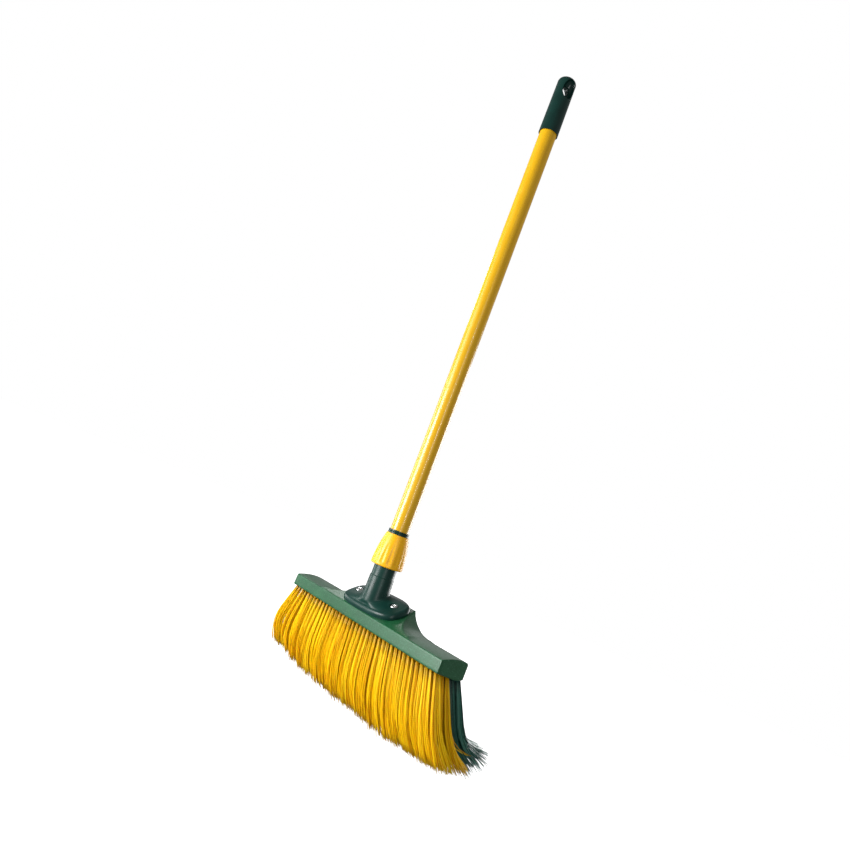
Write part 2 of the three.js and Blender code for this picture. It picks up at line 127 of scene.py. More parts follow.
def polar(radius: np.ndarray, angle: np.ndarray, height: np.ndarray | float) -> np.ndarray:
    """Points (radius cos angle, radius sin angle, height), whose shapes are matched."""
    sides = np.broadcast_arrays(radius * np.cos(angle), radius * np.sin(angle), height)
    return np.stack(sides, -1)


def tilted(points: np.ndarray, angle: float) -> np.ndarray:
    """Turns points about the X axis: y' = y cos a - z sin a, z' = y sin a + z cos a.

    Args:
        points: Points of shape (..., 3).
        angle: The angle a, in radians.

    Returns:
        The turned points.
    """
    c, s = math.cos(angle), math.sin(angle)
    x, y, z = np.moveaxis(np.asarray(points, float), -1, 0)
    return np.stack([x, c * y - s * z, s * y + c * z], -1)


def turned(points: np.ndarray, angle: float) -> np.ndarray:
    """Turns points about the Z axis: x' = x cos a - y sin a, y' = x sin a + y cos a.

    Args:
        points: Points of shape (..., 3).
        angle: The angle a, in radians.

    Returns:
        The turned points.
    """
    c, s = math.cos(angle), math.sin(angle)
    x, y, z = np.moveaxis(np.asarray(points, float), -1, 0)
    return np.stack([c * x - s * y, s * x + c * y, z], -1)


def lathe(profile: np.ndarray, segments: int) -> np.ndarray:
    """Turns a profile about the handle's axis.

    Args:
        profile: Pairs (radius, height), of shape (n, 2).
        segments: Facets round the axis.

    Returns:
        Points (radius cos a, radius sin a, height) for every angle a, of shape (n, segments, 3).
    """
    return polar(profile[:, :1], ring_angles(segments), profile[:, 1:])


def filleted(corners: Sequence[tuple[float, float, float]], steps: int = 5) -> np.ndarray:
    """A profile whose corners are rounded.

    Each corner is (radius, height, fillet). The corner is cut off at the fillet's length along
    both sides, or at a half of the shorter side, and a quadratic curve through the corner's
    control point joins the two cuts.

    Args:
        corners: The profile's corners in order.
        steps: Segments of each fillet.

    Returns:
        The profile's points, of shape (n, 2).
    """
    points = np.array([c[:2] for c in corners], float)
    out = [points[:1]]
    t = np.linspace(0.0, 1.0, steps + 1)[:, None]
    for i in range(1, len(corners) - 1):
        before, here, after = points[i - 1], points[i], points[i + 1]
        reach_in, reach_out = np.linalg.norm(before - here), np.linalg.norm(after - here)
        cut = min(corners[i][2], reach_in * 0.49, reach_out * 0.49)
        if cut <= 1e-6:
            out.append(here[None])
            continue
        a = here + (before - here) * cut / reach_in
        b = here + (after - here) * cut / reach_out
        out.append((1 - t) ** 2 * a + 2 * t * (1 - t) * here + t * t * b)
    out.append(points[-1:])
    return np.concatenate(out)


# ------------------------------------------------------------------ frames of the broom


@dataclass(frozen=True)
class Datum:
    """The frames that the CAD lays its pieces out in, in millimetres and radians."""

    lean: float = math.radians(3.0)
    hang: float = 885.0
    block_front: float = 17.4
    pad_slope: float = math.radians(30.0)
    flange_across: float = -2.0
    flange_up: float = 30.4
    flange_turn: float = math.radians(2.6)

    def head(self, points: np.ndarray) -> np.ndarray:
        """Points about the head datum, in millimetres, to the row frame, in metres."""
        hole = tilted(np.array([0.0, 0.0, self.hang]), self.lean)
        return (np.asarray(points, float) - hole) / 1000.0

    def stem(self, points: np.ndarray) -> np.ndarray:
        """Points about the handle's axis to the row frame, in metres."""
        return self.head(tilted(points, self.lean))

    def pad_to_head(self, points: np.ndarray) -> np.ndarray:
        """Points on the sloped pad, from its front edge up the slope, to the head datum."""
        return tilted(points, self.pad_slope) + np.array([0.0, -self.block_front, 0.0])

    def flange_to_head(self, points: np.ndarray) -> np.ndarray:
        """Points about the flange's centre on the pad, turned askew, to the head datum."""
        centre = np.array([self.flange_across, self.flange_up, 0.0])
        return self.pad_to_head(turned(points, self.flange_turn) + centre)


DATUM = Datum()


class Body(Enum):
    """The moving bodies of the frame."""

    HEAD = "head"
    HANDLE = "handle"
    COLLET = "collet"
    NUT = "nut"


class Slot(Enum):
    """The record's material slots."""

    BLOCK = "block_foam"
    SOCKET = "dark_moulding"
    CAP = "cap_moulding"
    NUT = "yellow_moulding"
    TUBE = "tube_coating"
    SCREW = "screw_zinc"
    YELLOW = "yellow_filament"
    GREEN = "green_filament"


# ------------------------------------------------------------------ meshes


def raw_mesh(name: str, points: np.ndarray, quads: np.ndarray) -> bpy.types.Mesh:
    """Puts whole arrays of points and quads into a new mesh.

    Args:
        name: The mesh's name.
        points: Points in the row frame, of shape (n, 3).
        quads: Numbers of each quad's points, of shape (faces, 4).

    Returns:
        The new mesh.
    """
    mesh = bpy.data.meshes.new(name)
    mesh.vertices.add(len(points))
    mesh.vertices.foreach_set("co", points.astype(np.float32).ravel())
    mesh.loops.add(quads.size)
    mesh.loops.foreach_set("vertex_index", quads.astype(np.int32).ravel())
    mesh.polygons.add(len(quads))
    mesh.polygons.foreach_set("loop_start", np.arange(0, quads.size, 4, dtype=np.int32))
    mesh.update(calc_edges=True)
    mesh.validate()
    return mesh


def shade(mesh: bpy.types.Mesh, sharp: float) -> None:
    """Shades a mesh smooth, but for edges that turn by more than this many degrees."""
    mesh.shade_smooth()
    mesh.set_sharp_from_angle(angle=math.radians(sharp))


def skin(
    name: str,
    grids: Sequence[np.ndarray],
    sharp: float = 40.0,
    wrap_rows: bool = False,
    wrap_columns: bool = True,
) -> bpy.types.Mesh:
    """Makes one outward facing mesh from grids of points.

    Each grid gives the quads between its neighbouring points. Equal points are merged, so that
    grids which share an edge join there, and then the normals are worked out.

    Args:
        name: The mesh's name.
        grids: Points in the row frame, each grid of shape (rows, columns, 3).
        sharp: Edges that turn by more than this many degrees are drawn sharp.
        wrap_rows: Each grid's last row joins its first.
        wrap_columns: Each grid's last column joins its first.

    Returns:
        The new mesh.
    """
    quads: list[np.ndarray] = []
    count = 0
    for points in grids:
        rows, columns = points.shape[:2]
        index = count + np.arange(rows * columns).reshape(rows, columns)
        if wrap_rows:
            index = np.vstack([index, index[:1]])
        if wrap_columns:
            index = np.hstack([index, index[:, :1]])
        corners = [index[:-1, :-1], index[:-1, 1:], index[1:, 1:], index[1:, :-1]]
        quads.append(np.stack(corners, -1).reshape(-1, 4))
        count += rows * columns
    all_points = np.concatenate([points.reshape(-1, 3) for points in grids])
    mesh = raw_mesh(name, all_points, np.concatenate(quads))
    editable = bmesh.new()
    editable.from_mesh(mesh)
    bmesh.ops.remove_doubles(editable, verts=editable.verts, dist=2e-6)
    bmesh.ops.dissolve_degenerate(editable, edges=editable.edges, dist=1e-7)
    bmesh.ops.recalc_face_normals(editable, faces=editable.faces)
    editable.to_mesh(mesh)
    editable.free()
    shade(mesh, sharp)
    return mesh


def in_scene(name: str, data: bpy.types.ID) -> bpy.types.Object:
    """Puts a new object into the scene.

    Args:
        name: The object's name.
        data: Its mesh, lamp or camera.

    Returns:
        The object.
    """
    placed = bpy.data.objects.new(name, data)
    bpy.context.scene.collection.objects.link(placed)
    return placed


def finish_piece(
    mesh: bpy.types.Mesh, finish: bpy.types.Material, body: Body, node: str
) -> bpy.types.Object:
    """Puts a mesh in the scene as a piece that rides on a body and stands for a CAD node.

    Args:
        mesh: The piece's mesh, in the row frame, which gives its name.
        finish: Its material.
        body: The body that it moves with.
        node: The CAD node that it stands for.

    Returns:
        The new object.
    """
    piece = in_scene(mesh.name, mesh)
    mesh.materials.append(finish)
    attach(piece, body.value)
    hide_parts(node)
    log.info("%s: %d faces, rides on %s", piece.name, len(mesh.polygons), body.value)
    return piece


# ------------------------------------------------------------------ finishes


def linear(hex_colour: str) -> tuple[float, float, float, float]:
    """An sRGB colour such as "#4f8f6b" as linear red, green, blue and alpha."""
    channels = [int(hex_colour[i : i + 2], 16) / 255.0 for i in (1, 3, 5)]
    return (*(c / 12.92 if c <= 0.04045 else ((c + 0.055) / 1.055) ** 2.4 for c in channels), 1.0)


def per_mm(size: float) -> float:
    """The noise scale, in cycles a metre, of a feature that is this many millimetres across."""
    return 1000.0 / size


def feed(tree: bpy.types.NodeTree, node: bpy.types.Node, inputs: dict[str | int, object]) -> None:
    """Sets a node's inputs.

    Args:
        tree: The tree that holds the node.
        node: The node.
        inputs: Values by input name or number; an output socket is linked instead.
    """
    for key, value in inputs.items():
        if isinstance(value, bpy.types.NodeSocket):
            tree.links.new(value, node.inputs[key])
        else:
            node.inputs[key].default_value = value


def add_node(
    tree: bpy.types.NodeTree,
    kind: str,
    inputs: dict[str | int, object] | None = None,
    settings: dict[str, object] | None = None,
    stops: Sequence[tuple[float, str]] = (),
) -> bpy.types.Node:
    """Adds a node with its settings and links.

    Args:
        tree: The material's or the surround's tree.
        kind: The node's type, without "ShaderNode".
        inputs: Values or output sockets by input name or number; an output is linked.
        settings: Attributes of the node.
        stops: A colour ramp's stops, as (position, sRGB hex).

    Returns:
        The node.
    """
    node = tree.nodes.new("ShaderNode" + kind)
    for key, value in (settings or {}).items():
        setattr(node, key, value)
    feed(tree, node, inputs or {})
    if stops:
        elements = node.color_ramp.elements
        while len(elements) < len(stops):
            elements.new(0.5)
        for element, (position, colour) in zip(elements, stops, strict=True):
            element.position = position
            element.color = linear(colour)
    return node


def new_material(
    name: str,
) -> tuple[bpy.types.Material, bpy.types.NodeTree, bpy.types.Node]:
    """Starts a material.

    Args:
        name: The material's name.

    Returns:
        The material, its node tree and its shader.
    """
    material = bpy.data.materials.new(name)
    material.use_nodes = True
    tree = material.node_tree
    return material, tree, tree.nodes["Principled BSDF"]


@dataclass(frozen=True)
class Moulded:
    """Injection moulded polypropylene: a satin skin with slight sink and flow marks.

    The eye sees a soft sheen whose edge wanders a little, and colour that is very slightly
    uneven from the pigment.
    """

    name: str
    colour: str
    deep: str
    roughness: float
    # Real mould grain is about 0.2 mm across, drawn coarser so that it shows.
    grain_mm: float = 0.9
    grain_depth_mm: float = 0.02
    sink_mm: float = 22.0
    polish: tuple[float, float] = (0.88, 1.14)
    ior: float = 1.49
    specular: float = 0.5
    subsurface: float = 0.0

    def build(self) -> bpy.types.Material:
        """Makes the material.

        Returns:
            The material: one slow noise tints the skin and varies its polish, and a fine one
            gives the mould's grain.
        """
        material, tree, shader = new_material(self.name)
        place = add_node(tree, "TexCoord").outputs["Object"]
        sink = {"Vector": place, "Scale": per_mm(self.sink_mm), "Detail": 3.0, "Roughness": 0.6}
        pigment = add_node(tree, "TexNoise", sink).outputs["Fac"]
        stops = [(NOISE_LOW, self.deep), (NOISE_HIGH, self.colour)]
        tint = add_node(tree, "ValToRGB", {"Fac": pigment}, stops=stops)
        polish = add_node(tree, "MapRange", {
            "Value": pigment,
            "From Min": NOISE_LOW,
            "From Max": NOISE_HIGH,
            "To Min": self.roughness * self.polish[0],
            "To Max": self.roughness * self.polish[1],
        })
        fine = {"Vector": place, "Scale": per_mm(self.grain_mm), "Detail": 2.0}
        grain = add_node(tree, "TexNoise", fine)
        bump = add_node(tree, "Bump", {
            "Height": grain.outputs["Fac"],
            "Distance": self.grain_depth_mm / 1000.0,
            "Strength": 0.6,
        })
        feed(tree, shader, {
            "Base Color": tint.outputs["Color"],
            "Roughness": polish.outputs["Result"],
            "Normal": bump.outputs["Normal"],
            "IOR": self.ior,
            "Specular IOR Level": self.specular,
            "Subsurface Weight": self.subsurface,
            "Subsurface Scale": 0.002,
        })
        return material


@dataclass(frozen=True)
class FoamedBlock:
    """Structural foamed polypropylene: a swirled skin with pale gas flecks and tiny pits.

    The eye sees a mid green skin with pale speckle a millimetre or so across, painted shade as dark
    speckle in the pits, broad cloudy swirl marks from the foam's flow, and a satin surface rather
    than a glossy one.
    """

    name: str = "foamed_polypropylene_green"
    colour: str = "#145530"
    deep: str = "#0f4727"
    fleck: str = "#659a84"
    # The pit colour is painted shade: the pits are darkened where the bump sinks.
    pit_shade: str = "#0a341e"
    # Real flecks are 0.3 to 1 mm across, drawn a little coarser so that they show.
    fleck_mm: float = 1.3
    fleck_span: tuple[float, float] = (0.58, 0.74)
    fleck_strength: float = 0.5
    # The painted pit shade's span of the fine noise, and its strength.
    pit_shade_span: tuple[float, float] = (0.42, 0.28)
    pit_shade_strength: float = 0.55
    pit_depth_mm: float = 0.12
    swirl_mm: float = 40.0
    swirl_span: tuple[float, float] = (0.32, 0.68)
    roughness: float = 0.34
    polish: tuple[float, float] = (1.2, 0.85)
    ior: float = 1.49

    def build(self) -> bpy.types.Material:
        """Makes the material.

        Returns:
            The material: a slow, distorted noise gives the swirls, and a fine one the flecks at
            its highest values, the painted shade in the pits at its lowest, the polish and the bump.
        """
        material, tree, shader = new_material(self.name)
        place = add_node(tree, "TexCoord").outputs["Object"]
        swirl = add_node(tree, "TexNoise", {
            "Vector": place,
            "Scale": per_mm(self.swirl_mm),
            "Detail": 5.0,
            "Roughness": 0.62,
            "Distortion": 0.8,
        })
        stops = [(self.swirl_span[0], self.deep), (self.swirl_span[1], self.colour)]
        tint = add_node(tree, "ValToRGB", {"Fac": swirl.outputs["Fac"]}, stops=stops).outputs["Color"]
        fine = {"Vector": place, "Scale": per_mm(self.fleck_mm), "Detail": 1.5, "Roughness": 0.7}
        speck = add_node(tree, "TexNoise", fine).outputs["Fac"]
        # Pale flecks at the fine noise's highest values, then painted shade in the pits at its lowest,
        # where the bump sinks.
        for span, strength, colour in (
            (self.fleck_span, self.fleck_strength, self.fleck),
            (self.pit_shade_span, self.pit_shade_strength, self.pit_shade),
        ):
            amount = add_node(tree, "MapRange", {
                "Value": speck,
                "From Min": span[0],
                "From Max": span[1],
                "To Max": strength,
            })
            marked = {"Factor": amount.outputs["Result"], 6: tint, 7: linear(colour)}
            tint = add_node(tree, "Mix", marked, {"data_type": "RGBA"}).outputs[2]
        polish = add_node(tree, "MapRange", {
            "Value": speck,
            "From Min": NOISE_LOW,
            "From Max": NOISE_HIGH,
            "To Min": self.roughness * self.polish[0],
            "To Max": self.roughness * self.polish[1],
        })
        relief = {"Height": speck, "Distance": self.pit_depth_mm / 1000.0, "Strength": 0.6}
        feed(tree, shader, {
            "Base Color": tint,
            "Roughness": polish.outputs["Result"],
            "Normal": add_node(tree, "Bump", relief).outputs["Normal"],
            "IOR": self.ior,
        })
        return material


@dataclass(frozen=True)
class CoatedTube:
    """Powder coated steel tube: a glossy yellow skin with faint orange peel and rub marks.

    The eye sees long narrow reflections that waver slightly along the tube, drawn-out faint
    streaks from the tube mill, and a slightly duller, paler rub where hands slide.
    """

    name: str = "powder_coated_steel_yellow"
    colour: str = "#dcaa04"
    deep: str = "#d09c02"
    rub: str = "#e2b62c"
    rub_mm: float = 35.0
    rub_span: tuple[float, float] = (0.55, 0.8)
    rub_strength: float = 0.35
    peel_mm: float = 2.2
    peel_depth_mm: float = 0.04
    # Real mill streaks are about 1 mm wide, drawn wider so that they show.
    streak_mm: float = 3.0
    streak_shortening: float = 0.02
    roughness: float = 0.3
    polish: tuple[float, float] = (0.8, 1.5)
    polish_high: float = 0.75
    ior: float = 1.5
    coat: float = 0.2
    coat_roughness: float = 0.08

    def build(self) -> bpy.types.Material:
        """Makes the material.

        Returns:
            The material: a noise stretched along the tube gives the streaks, a slow one the
            rubs and the polish, and a fine one the peel's bump.
        """
        material, tree, shader = new_material(self.name)
        place = add_node(tree, "TexCoord").outputs["Object"]
        along = {"Vector": place, "Scale": (1.0, 1.0, self.streak_shortening)}
        streak = add_node(tree, "TexNoise", {
            "Vector": add_node(tree, "Mapping", along).outputs["Vector"],
            "Scale": per_mm(self.streak_mm),
            "Detail": 3.0,
            "Roughness": 0.55,
        })
        stops = [(NOISE_LOW, self.deep), (NOISE_HIGH, self.colour)]
        drawn = add_node(tree, "ValToRGB", {"Fac": streak.outputs["Fac"]}, stops=stops)
        slow = {"Vector": place, "Scale": per_mm(self.rub_mm), "Detail": 6.0, "Roughness": 0.7}
        worn = add_node(tree, "TexNoise", slow).outputs["Fac"]
        rubbed = add_node(tree, "MapRange", {
            "Value": worn,
            "From Min": self.rub_span[0],
            "From Max": self.rub_span[1],
            "To Max": self.rub_strength,
        })
        tint = add_node(
            tree,
            "Mix",
            {"Factor": rubbed.outputs["Result"], 6: drawn.outputs["Color"], 7: linear(self.rub)},
            {"data_type": "RGBA"},
        )
        polish = add_node(tree, "MapRange", {
            "Value": worn,
            "From Min": NOISE_LOW,
            "From Max": self.polish_high,
            "To Min": self.roughness * self.polish[0],
            "To Max": self.roughness * self.polish[1],
        })
        fine = {"Vector": place, "Scale": per_mm(self.peel_mm), "Detail": 1.0}
        peel = add_node(tree, "TexNoise", fine)
        bump = add_node(tree, "Bump", {
            "Height": peel.outputs["Fac"],
            "Distance": self.peel_depth_mm / 1000.0,
            "Strength": 0.5,
        })
        feed(tree, shader, {
            "Base Color": tint.outputs[2],
            "Roughness": polish.outputs["Result"],
            "Normal": bump.outputs["Normal"],
            "IOR": self.ior,
            "Coat Weight": self.coat,
            "Coat Roughness": self.coat_roughness,
        })
        return material


@dataclass(frozen=True)
class ZincPlate:
    """Zinc plated steel: a bright, slightly milky metal with fine forming marks."""

    name: str = "zinc_plated_steel"
    colour: str = "#f2f4f4"
    deep: str = "#dfe2e3"
    # Real forming marks are about 0.1 mm across, drawn coarser so that they show.
    mark_mm: float = 0.8
    mark_span: tuple[float, float] = (0.35, 0.65)
    roughness: float = 0.24
    polish: tuple[float, float] = (0.75, 1.4)

    def build(self) -> bpy.types.Material:
        """Makes the material.

        Returns:
            The material: one fine noise gives the marks' tint and their polish.
        """
        material, tree, shader = new_material(self.name)
        place = add_node(tree, "TexCoord").outputs["Object"]
        fine = {"Vector": place, "Scale": per_mm(self.mark_mm), "Detail": 3.0}
        marks = add_node(tree, "TexNoise", fine).outputs["Fac"]
        stops = [(self.mark_span[0], self.deep), (self.mark_span[1], self.colour)]
        tint = add_node(tree, "ValToRGB", {"Fac": marks}, stops=stops)
        polish = add_node(tree, "MapRange", {
            "Value": marks,
            "From Min": NOISE_LOW,
            "From Max": NOISE_HIGH,
            "To Min": self.roughness * self.polish[0],
            "To Max": self.roughness * self.polish[1],
        })
        feed(tree, shader, {
            "Base Color": tint.outputs["Color"],
            "Roughness": polish.outputs["Result"],
            "Metallic": 1.0,
        })
        return material


@dataclass(frozen=True)
class Filament:
    """Extruded polypropylene filament: smooth, slightly translucent, coloured in the mass.

    The eye sees hundreds of satin threads, each a little lighter or darker than the next. Near
    the block they darken with painted shade, standing in for the shade where they crowd together.
    """

    name: str
    colour: str
    light: str
    deep: str
    # The root colour is painted shade: the colour the threads darken to near the block, where they shade
    # each other.
    root_shade: str
    roughness: float = 0.42
    subsurface: float = 0.12
    specular: float = 0.2
    # How far up the thread and how strongly the painted root shade reaches.
    root_shade_share: float = 0.16
    root_shade_strength: float = 0.85
    middle_tone: float = 0.45
    ior: float = 1.49

    def build(self) -> bpy.types.Material:
        """Makes the material.

        Returns:
            The material: the map's U is the thread's tone and V its share of the length, which also sets
                the painted shade near the root.
        """
        material, tree, shader = new_material(self.name)
        own = add_node(tree, "UVMap", settings={"uv_map": FILAMENT_MAP}).outputs["UV"]
        split = add_node(tree, "SeparateXYZ", {"Vector": own})
        stops = [(0.0, self.deep), (self.middle_tone, self.colour), (1.0, self.light)]
        tone = add_node(tree, "ValToRGB", {"Fac": split.outputs["X"]}, stops=stops)
        # Painted shade: the colour darkens towards the root, where crowded threads shade each other.
        root_shade_amount = add_node(tree, "MapRange", {
            "Value": split.outputs["Y"],
            "From Min": self.root_shade_share,
            "From Max": 0.0,
            "To Max": self.root_shade_strength,
        })
        tint = add_node(
            tree,
            "Mix",
            {"Factor": root_shade_amount.outputs["Result"], 6: tone.outputs["Color"], 7: linear(self.root_shade)},
            {"data_type": "RGBA"},
        )
        feed(tree, shader, {
            "Base Color": tint.outputs[2],
            "Roughness": self.roughness,
            "IOR": self.ior,
            "Specular IOR Level": self.specular,
            "Subsurface Weight": self.subsurface,
            "Subsurface Scale": 0.001,
        })
        return material


# ------------------------------------------------------------------ the block


@dataclass(frozen=True)
class Block:
    """The foamed block: a crowned bar with a humped, sloped pad for the socket."""

    half_length: float = 179.0
    front: float = -17.4
    rear: float = 37.4
    bottom: float = -17.5
    crown_at: float = 14.0
    crown: float = 9.0
    rear_height: float = 3.3
    keel_drop: float = 3.5
    keel_at: float = 24.0
    keel_blunting: float = 0.6
    keel_blunt_width: float = 2.2
    corner: float = 5.0
    edge: float = 1.3
    rear_edge: float = 2.6
    end_edge: float = 1.0
    pad_slope: float = DATUM.pad_slope
    ridge_half: float = 52.0
    foot_half: float = 103.0
    top_pull: tuple[float, float] = (4.0, 13.6)
    foot_pull: float = 22.0
    ridge_steepness: float = 3.4
    foot_fall: float = 0.4
    hump_fillet: float = 1.1
    crown_fillet_growth: float = 0.3
    crown_fillet: tuple[float, float] = (0.2, 5.0)

    def crown_height(self, y: np.ndarray) -> np.ndarray:
        """Height of the bar's bowed top: a quadratic Bezier curve solved for y.

        Args:
            y: Places from the front to the rear.

        Returns:
            The heights.
        """
        a = self.front - 2 * self.crown_at + self.rear
        b = 2 * (self.crown_at - self.front)
        t = (-b + np.sqrt(b * b - 4 * a * (self.front - y))) / (2 * a)
        return 2 * t * (1 - t) * self.crown + t * t * self.rear_height

    def keel_height(self, y: np.ndarray) -> np.ndarray:
        """Height of the bottom, which falls straight to the keel's line and rises again.

        Args:
            y: Places from the front to the rear.

        Returns:
            The heights.
        """
        falling = (y - self.front) / (self.keel_at - self.front)
        rising = (self.rear - y) / (self.rear - self.keel_at)
        return self.bottom - self.keel_drop * np.where(y < self.keel_at, falling, rising)

    def ridge_height(self) -> float:
        """Height of the pad where it meets the rear face."""
        return (self.rear - self.front) * math.tan(self.pad_slope)

    def side_height(self, x: np.ndarray) -> np.ndarray:
        """Height of the hump's swept side.

        It is a cubic Bezier curve read off by x, from the ridge's end down to the hump's foot,
        and a straight line beyond either end.

        Args:
            x: Places along the block.

        Returns:
            The heights.
        """
        top = self.ridge_height()
        control = np.array(
            [
                [self.ridge_half, top],
                [self.ridge_half + self.top_pull[0], top - self.top_pull[1]],
                [self.foot_half - self.foot_pull, self.rear_height],
                [self.foot_half, self.rear_height],
            ]
        )
        curve = bezier(control, np.linspace(0.0, 1.0, 200))
        out = np.abs(x)
        steep = top + (self.ridge_half - out) * self.ridge_steepness
        swept = np.interp(out, curve[:, 0], curve[:, 1])
        beyond = self.rear_height - (out - self.foot_half) * self.foot_fall
        return np.select([out < self.ridge_half, out > self.foot_half], [steep, beyond], swept)

    def top_height(self, x: np.ndarray, y: np.ndarray) -> np.ndarray:
        """The top: the crown, joined by a fillet to the lower of the pad and the hump's side.

        Args:
            x: Places along the block.
            y: Places from the front to the rear.

        Returns:
            The heights.
        """
        pad = (y - self.front) * math.tan(self.pad_slope)
        hump = soft_min(pad, self.side_height(x), self.hump_fillet)
        fillet = np.clip((y - self.front) * self.crown_fillet_growth, *self.crown_fillet)
        return soft_max(self.crown_height(y), hump, fillet)

    def stations(self) -> np.ndarray:
        """Places of the sections along the block, closest at its ends and round the hump.

        Returns:
            The places, of shape (sections,).
        """
        out = (
            self.half_length,
            self.half_length - self.end_edge,
            self.half_length - 8,
            self.foot_half + 4,
            self.ridge_half - 6,
        )
        right = list(zip(out[1:], out, (6, 10, 16, 44), strict=False))
        left = [(-far, -near, count) for near, far, count in right]
        return graded([*left, (-out[-1], out[-1], 30), *right[::-1]])

    def points(self) -> np.ndarray:
        """The block as a grid of sections along its length.

        A section runs up the front face, over the top, down the rear face and back along the
        keeled bottom. Near the ends it shrinks by the end edge's rounding, and its rear face
        follows the corner's quarter circle.

        Returns:
            Points about the head datum, of shape (sections, points, 3).
        """
        x = self.stations()
        from_end = self.half_length - np.abs(x)
        inset = round_over(from_end, self.end_edge)[:, None]
        front = self.front + inset
        rear = self.rear - round_over(from_end, self.corner)[:, None]
        # Shares of the way from the front to the rear, closest where the edges are rounded.
        near_front = [(0.0, 0.004, 3), (0.004, 0.03, 6), (0.03, 0.1, 6)]
        near_rear = [(0.93, 0.99, 8), (0.99, 1.0, 5)]
        y_top = front + (rear - front) * graded([*near_front, (0.1, 0.93, 52), *near_rear])
        full = self.top_height(np.broadcast_to(x[:, None], y_top.shape), y_top)
        drop = round_over(y_top - front, self.edge) + round_over(rear - y_top, self.rear_edge)
        z_top = full - drop - inset
        rise = np.linspace(0.0, 1.0, 9)[:-1]
        low = self.bottom + self.edge + inset
        z_front = low + (z_top[:, :1] - low) * rise
        z_rear = (low + (z_top[:, -1:] - low) * rise)[:, ::-1]
        back = [(1.0, 0.99, 3), (0.99, 0.95, 4), (0.95, 0.05, 24), (0.05, 0.01, 4), (0.01, 0.0, 3)]
        y_low = front + (rear - front) * graded(back)
        from_keel = (y_low - self.keel_at) / self.keel_blunt_width
        blunt = self.keel_blunting * np.exp(-(from_keel**2))
        rim = round_over(y_low - front, self.edge) + round_over(rear - y_low, self.edge)
        z_low = self.keel_height(y_low) + blunt + rim + inset
        y_front, y_rear = np.repeat(front, len(rise), 1), np.repeat(rear, len(rise), 1)
        y = np.hstack([y_front, y_top, y_rear, y_low[:, 1:-1]])
        z = np.hstack([z_front, z_top, z_rear, z_low[:, 1:-1]])
        sections = np.stack([np.broadcast_to(x[:, None], y.shape), y, z], -1)
        return np.concatenate([self.end_face(sections[:1]), sections, self.end_face(sections[-1:])[::-1]])

    def end_face(self, rim: np.ndarray) -> np.ndarray:
        """Rings from the middle of an end out to its rim, at even shares of the way."""
        shrink = np.array([0.0, 0.35, 0.7])[:, None, None]
        middle = rim.mean(1, keepdims=True)
        return middle + (rim - middle) * shrink

    def build(self, finish: bpy.types.Material) -> None:
        """Builds the block."""
        mesh = skin("foamed_block", [DATUM.head(self.points())], sharp=50.0)
        finish_piece(mesh, finish, Body.HEAD, "block")


# ------------------------------------------------------------------ the socket and its screws


